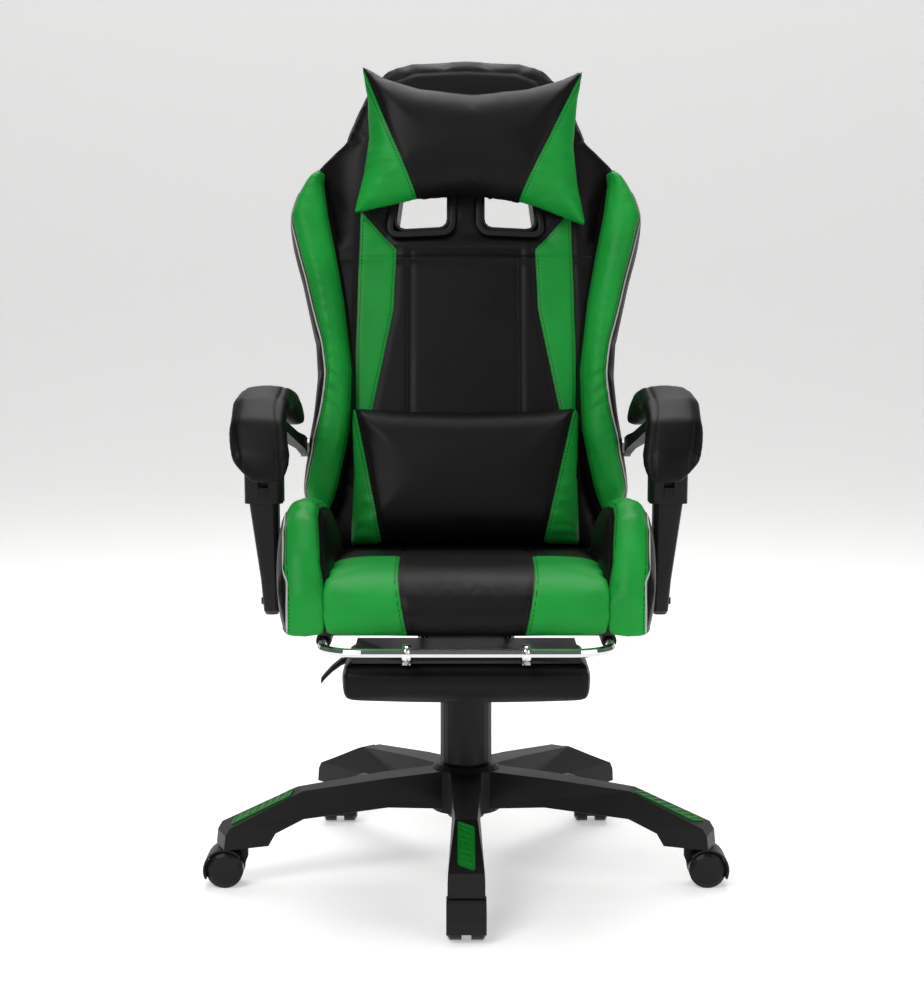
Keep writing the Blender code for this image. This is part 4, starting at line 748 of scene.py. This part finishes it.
def crown_back(points):
    """Rounds the back's front: full in the middle, and dished a little across the shoulders."""
    x, up, forward = on_back(points)
    ahead = np.clip((forward - 0.030) / 0.020, 0, 1)
    across = 1 - np.clip(np.abs(x) / 0.20, 0, 1) ** 2
    level = np.clip((up - 0.425) / 0.130, 0, 1)
    eased = 1 - level * level * (3 - 2 * level)
    step = (HEAD_DEPTH[1] - PAD_DEPTH[1]) * eased * (up > HEAD_SHAPE[0][1])
    shoulder = 0.030 * np.clip((np.abs(x) - 0.165) / 0.060, 0, 1) ** 2 * (up > 0.46)
    dome = np.clip((up - 0.660) / 0.086, 0, 1) ** 2
    forward = forward + ahead * (0.004 * across - 0.002 - step - shoulder - 0.010 * dome)
    return from_back(x, up, forward)


back_pad = stuffed("back_pad", shape, 0.0055, swell=0.004, rounding=7, model=crown_back)
x, up, forward = on_back(points_of(back_pad))
flat = np.stack([x, up], 1)
panel = inside(np.stack([np.abs(x), up], 1), STRIP)
strip_gap, strip_run = along_line(np.stack([np.abs(x), up], 1), [*STRIP, STRIP[0]])
other_gap, other_run = nearest_seam(flat, [FIELD, mirrored_line(CROWN_SEAM)])
seam = np.minimum(strip_gap, other_gap)
run = np.where(strip_gap < other_gap, strip_run, other_run)
facing = forward > 0.030
sew(back_pad, np.where(facing, seam, AWAY), run, np.where(facing, panel, -AWAY))
upholstered(back_pad, two_tone_hide, "back", "black_upholstery", 0.8, "back_cushion",
            "head_cushion")

# The wings' edges: distance up the back, then x.
WING_OUTSIDE = [(0.046, 0.222), (0.088, 0.236), (0.125, 0.229), (0.140, 0.2255), (0.160, 0.224),
                (0.202, 0.217), (0.258, 0.212), (0.305, 0.215), (0.400, 0.236), (0.440, 0.247),
                (0.497, 0.261), (0.529, 0.252), (0.561, 0.237), (0.578, 0.222)]
WAIST = 0.245                                 # up the back, where the wings are narrowest
GREEN_INSIDE = [(0.030, 0.215), (0.046, 0.202), (0.073, 0.190), (0.094, 0.183), (0.147, 0.172),
                (0.177, 0.166), (0.264, 0.164), (0.368, 0.176), (0.440, 0.189), (0.500, 0.201),
                (0.548, 0.208), (0.600, 0.206)]
SHOULDER_SEAM = (0.206, 0.572, 0.10)          # x and height of the green's top inner corner, and
                                              # its fall outwards


def lean_inwards(points):
    """Brings the wing's inner front edge over the back pad, to where its seam lies."""
    x, up, forward = on_back(points)
    inside_x = np.interp(up, *np.array([(up, x) for up, x in WING_INSIDE]).T)
    outside_x = np.interp(up, *np.array(WING_OUTSIDE).T)
    wanted = np.interp(up, *np.array(GREEN_INSIDE).T) - 0.004
    near_inside = np.clip((outside_x - x) / (outside_x - inside_x), 0, 1) * (forward > 0.012)
    return from_back(x - np.maximum(inside_x - wanted, 0) * near_inside, up, forward)


wing = stuffed("back_wing_pad_l", copy_of("back_wing_l"), 0.0045, swell=0.004, rounding=9,
               model=lean_inwards)
x, up, forward = on_back(points_of(wing))
inner_x = np.interp(up, *np.array(GREEN_INSIDE).T)
outer_x = np.interp(up, *np.array(WING_OUTSIDE).T)
inset = 0.0035 + 0.0065 * np.exp(-(((up - WAIST) / 0.075) ** 2))
seam_x, seam_up, fall = SHOULDER_SEAM
top_edge = seam_up - fall * (x - seam_x) - up
panel = np.minimum(np.minimum(x - inner_x, outer_x - inset - x), top_edge)
panel = np.where(forward > 0.020, panel, -AWAY)
seam = np.where(forward > 0.020, np.abs(panel), AWAY)
# The cover bunches up a little at the waist: height, slope, half width and depth of each crease.
CREASES = [(0.205, 0.55, 0.0045, 0.0016), (0.226, 0.62, 0.0050, 0.0020),
           (0.250, 0.50, 0.0045, 0.0018), (0.272, 0.40, 0.0042, 0.0012)]
fade = np.clip((x - inner_x) / 0.015, 0, 1) * np.clip((outer_x - x) / 0.012, 0, 1)
creases = np.zeros(len(x))
for at_up, tilt, reach, depth in CREASES:
    across = (up - at_up) - tilt * (x - outer_x + 0.03)
    creases += depth * fade * (forward > 0.040) * np.exp(-((across / reach) ** 2))
set_points(wing, from_back(x, up, forward - creases))
sew(wing, seam, up, panel)
tree_of_wing = surface_of(wing)
edge = []
for at_up in np.linspace(0.052, 0.535, 44):
    outer = float(np.interp(at_up, *np.array(WING_OUTSIDE).T))
    inset = 0.0030 + 0.0065 * math.exp(-(((at_up - WAIST) / 0.075) ** 2))
    start = HINGE + Vector((outer - inset, 0, 0)) + UP_BACK * at_up + OFF_BACK * 0.3
    hit = tree_of_wing.ray_cast(start, -OFF_BACK)[0]
    if hit:
        edge.append(hit)
for s, sign in (("l", 1), ("r", -1)):
    pad = wing if s == "l" else mirror_of(wing, "back_wing_pad_r")
    upholstered(pad, two_tone_hide, "back", "green_upholstery", 0.8, f"back_wing_{s}")
    piping(f"wing_piping_{s}", [(sign * p.x, p.y, p.z) for p in edge], cord_grey, "back",
           radius=0.0015)

rear_cover = stuffed("rear_cover", copy_of("back_rear_panel"), 0.0042, swell=0.002, rounding=4)
x, up, forward = on_back(points_of(rear_cover))
border = [(-0.150, 0.070), (-0.165, 0.430), (0.165, 0.430), (0.150, 0.070)]
seam, run = nearest_seam(np.stack([x, up], 1), [border, [border[0], border[-1]]])
sew(rear_cover, np.where(forward < -0.018, seam, AWAY), run, depth=0.0012)
upholstered(rear_cover, black_hide, "back", "black_upholstery", 0.5, "back_rear_panel")

# The windows' plastic liners end in a rounded flange that presses the leatherette down, front and
# rear, where the level is the skin's distance off the hinge.
FLANGE_WIDTH, FLANGE_RISE, FLANGE_CORNER = 0.0095, 0.0034, 0.020
FLANGE_LEVELS = (("front", 0.0590, 1), ("rear", -0.0240, -1))
window_middle = [sum(values) / len(WINDOW) for values in zip(*WINDOW)]
window_size = [max(values) - min(values) for values in zip(*WINDOW)]
FLANGE = [[middle + (value - middle) * (1 + 2 * FLANGE_WIDTH / size)
           for value, middle, size in zip(corner, window_middle, window_size)] for corner in WINDOW]
for s, sign in (("l", 1), ("r", -1)):
    for side, level, outward in FLANGE_LEVELS:
        shape = bmesh.new()
        shape.faces.new([shape.verts.new((x, up, 0)) for x, up in FLANGE])
        bmesh.ops.bevel(shape, geom=shape.verts[:], offset=FLANGE_CORNER, segments=5, profile=0.5,
                        affect="VERTICES", material=-1)
        opening = shape.faces[:]
        bmesh.ops.inset_region(shape, faces=opening, thickness=FLANGE_WIDTH, use_even_offset=True,
                               use_boundary=True)
        bmesh.ops.delete(shape, geom=opening, context="FACES")
        raised = moved_points(bmesh.ops.extrude_face_region(shape, geom=shape.faces[:],
                                                            use_keep_orig=True)["geom"])
        bmesh.ops.translate(shape, verts=raised, vec=(0, 0, FLANGE_RISE))
        rims = [e for e in shape.edges
                if all(v in raised for v in e.verts) and e.calc_face_angle(0) > 1.0]
        bmesh.ops.bevel(shape, geom=rims, offset=0.0014, segments=3, profile=0.5,
                        affect="EDGES", material=-1)
        bmesh.ops.scale(shape, vec=(sign, 1, outward), verts=shape.verts)
        bmesh.ops.translate(shape, vec=(0, 0, level), verts=shape.verts)
        bmesh.ops.transform(shape, matrix=ON_BACK, verts=shape.verts)
        bmesh.ops.recalc_face_normals(shape, faces=shape.faces)
        mesh = finished(shape, f"window_flange_{side}_{s}")
        mesh.shade_smooth()
        mesh.set_sharp_from_angle(angle=math.radians(40))
        new_piece(mesh.name, mesh, textured_nylon, "back")


# ---------------------------------------------------------------- pillows
# Two loose pillows stuffed with fibre: a head pillow with four drawn-out corners and a lumbar one.
# Each has a black middle and gathered green ends.

NECK_SHAPE = [(-0.156, 0.724), (-0.120, 0.703), (-0.070, 0.688), (0.010, 0.679), (0.090, 0.687),
              (0.140, 0.700), (0.176, 0.716), (0.166, 0.670), (0.160, 0.600), (0.165, 0.540),
              (0.176, 0.476), (0.130, 0.494), (0.095, 0.508), (0.010, 0.522), (-0.075, 0.515),
              (-0.164, 0.496), (-0.151, 0.555), (-0.144, 0.610), (-0.146, 0.670)]
NECK_SEAMS = [[(-0.158, 0.730), (-0.112, 0.612), (-0.064, 0.500)],
              [(0.178, 0.722), (0.124, 0.608), (0.070, 0.498)]]
NECK_DEPTH = (0.0625, 0.121)
LUMBAR_SHAPE = [(-0.165, 0.207), (-0.080, 0.202), (0.0, 0.201), (0.080, 0.202), (0.163, 0.207),
                (0.160, 0.110), (0.163, 0.007), (0.080, 0.011), (0.0, 0.012), (-0.080, 0.011),
                (-0.165, 0.007), (-0.161, 0.110)]
LUMBAR_SEAMS = [[(-0.162, 0.212), (-0.140, 0.110), (-0.118, 0.000)],
                [(0.158, 0.212), (0.134, 0.110), (0.108, 0.000)]]
LUMBAR_DEPTH = (0.0525, 0.116)
PILLOW_VOXEL = 0.0048
RIM_SHARE = 0.36                              # of a pillow's depth that lies behind its rim


def pillow(name, outline, depth, seams, edge_width, fullness, swell, gathers):
    """A pillow: a flat shape drawn to a thin edge all round, stuffed, then gathered at its ends."""
    rim = depth[0] + RIM_SHARE * (depth[1] - depth[0])
    shape = flat_solid(depth, outline)
    bmesh.ops.transform(shape, matrix=ON_BACK, verts=shape.verts)

    def lens(points):
        x, up, forward = on_back(points)
        deep = np.clip(inside(np.stack([x, up], 1), outline) / edge_width, 0, 1)
        full = 0.10 + 0.90 * (1 - (1 - deep) ** 2) ** fullness
        return from_back(x, up, rim + (forward - rim) * full)

    piece = stuffed(name, shape, PILLOW_VOXEL, swell=swell, rounding=4, pressure=3.0, model=lens)
    x, up, forward = on_back(points_of(piece))
    flat = np.stack([x, up], 1)
    seam, run = nearest_seam(flat, seams)
    left, right = [np.interp(up, *np.array([(at_up, at_x) for at_x, at_up in reversed(line)]).T)
                   for line in seams]
    ends = np.maximum(left - x, x - right)      # above 0 in the green ends
    panel = np.where(ends > 0, seam, -seam)
    edge_gap, edge_run = along_line(flat, [*outline, outline[0]])
    near_rim = np.abs(forward - rim) < 0.004
    folds = np.array([noise.noise(Vector((px * 26, pu * 90, 3.1))) for px, pu in flat])
    fade = np.clip(ends / 0.012, 0, 1) * np.clip(edge_gap / 0.010, 0, 1)
    puckers = np.array([noise.noise(Vector((px * 60, pu * 22, 7.7))) for px, pu in flat])
    edge_fade = np.exp(-((edge_gap / 0.020) ** 2)) * (ends < 0)
    sign = np.where(forward > rim, 1.0, -1.0)
    forward = forward + sign * (gathers * folds * fade + 0.0012 * puckers * edge_fade)
    set_points(piece, from_back(x, up, forward))
    rim_seam = np.where(near_rim, np.minimum(np.abs(forward - rim), edge_gap + 0.001), AWAY)
    joined = np.minimum(seam, rim_seam)
    sew(piece, joined, np.where(seam < rim_seam, run, edge_run), panel, depth=0.0020, width=0.0050)
    return piece


neck = pillow("neck_pillow_cover", NECK_SHAPE, NECK_DEPTH, NECK_SEAMS, edge_width=0.062,
              fullness=0.62, swell=0.005, gathers=0.0022)
upholstered(neck, two_tone_hide, "neck_pillow", "black_upholstery", 0.7, "neck_pillow")
lumbar = pillow("lumbar_pillow_cover", LUMBAR_SHAPE, LUMBAR_DEPTH, LUMBAR_SEAMS, edge_width=0.060,
                fullness=0.55, swell=0.005, gathers=0.0026)
upholstered(lumbar, two_tone_hide, "lumbar_pillow", "black_upholstery", 0.75, "lumbar_pillow")


# ---------------------------------------------------------------- footrest and armrests
# A padded board under the seat, and arched arm pads of moulded foam with a stitched leatherette
# cover.

pad_low, pad_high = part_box("footrest_cushion")
footrest = stuffed("footrest_pad", copy_of("footrest_cushion"), 0.0045, swell=0.006, rounding=18)
x, y, z = points_of(footrest).T
around = np.minimum(np.minimum(pad_high.x - np.abs(x), y - pad_low.y), pad_high.y - y)
seam = np.where(around < 0.020, np.abs(z - (pad_high.z - 0.011)), AWAY)
sew(footrest, seam, x + y, depth=0.0014, width=0.0035)
upholstered(footrest, black_hide, "footrest_flip", "black_upholstery", 0.8, "footrest_cushion")

arm_low, arm_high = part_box("armrest_pad_l")


def fill_front_end(points):
    """Fills the pad's front end out to a blunt round lobe, well down over the knuckle."""
    x, y, z = points.T
    ahead = np.clip((arm_low.z + 0.060 - z) / 0.055, 0, 1) * (y < arm_low.y + 0.09)
    x = arm_low.x + 0.047 + (x - arm_low.x - 0.047) * (1 + 0.75 * ahead)
    return np.stack([x, y - 0.006 * ahead, z - 0.012 * ahead + 0.004 * (1 - ahead)], 1)


arm_pad = stuffed("armrest_cover_l", copy_of("armrest_pad_l"), 0.0034, swell=0.005, rounding=26,
                  model=fill_front_end)
x, y, z = points_of(arm_pad).T
slices = np.linspace(arm_low.y, arm_high.y, 22)
middle = np.interp(y, slices, [np.median(x[np.abs(y - at) < 0.012]) for at in slices])
reach = np.interp(y, slices, [np.ptp(x[np.abs(y - at) < 0.008]) / 2 for at in slices])
normals = np.empty(len(x) * 3)
arm_pad.data.vertices.foreach_get("normal", normals)
facing_up = normals.reshape(-1, 3)[:, 2] > -0.15
inner_line = np.abs(x - (middle - 0.62 * reach))
outer_line = np.abs(x - (middle + 0.80 * reach))
seam = np.where(facing_up, np.minimum(inner_line, outer_line), AWAY)
sew(arm_pad, seam, y, depth=0.0012, width=0.0032)
for s in "lr":
    pad = arm_pad if s == "l" else mirror_of(arm_pad, "armrest_cover_r")
    upholstered(pad, black_hide, f"arm_{s}", "black_leatherette", 0.85, f"armrest_pad_{s}")
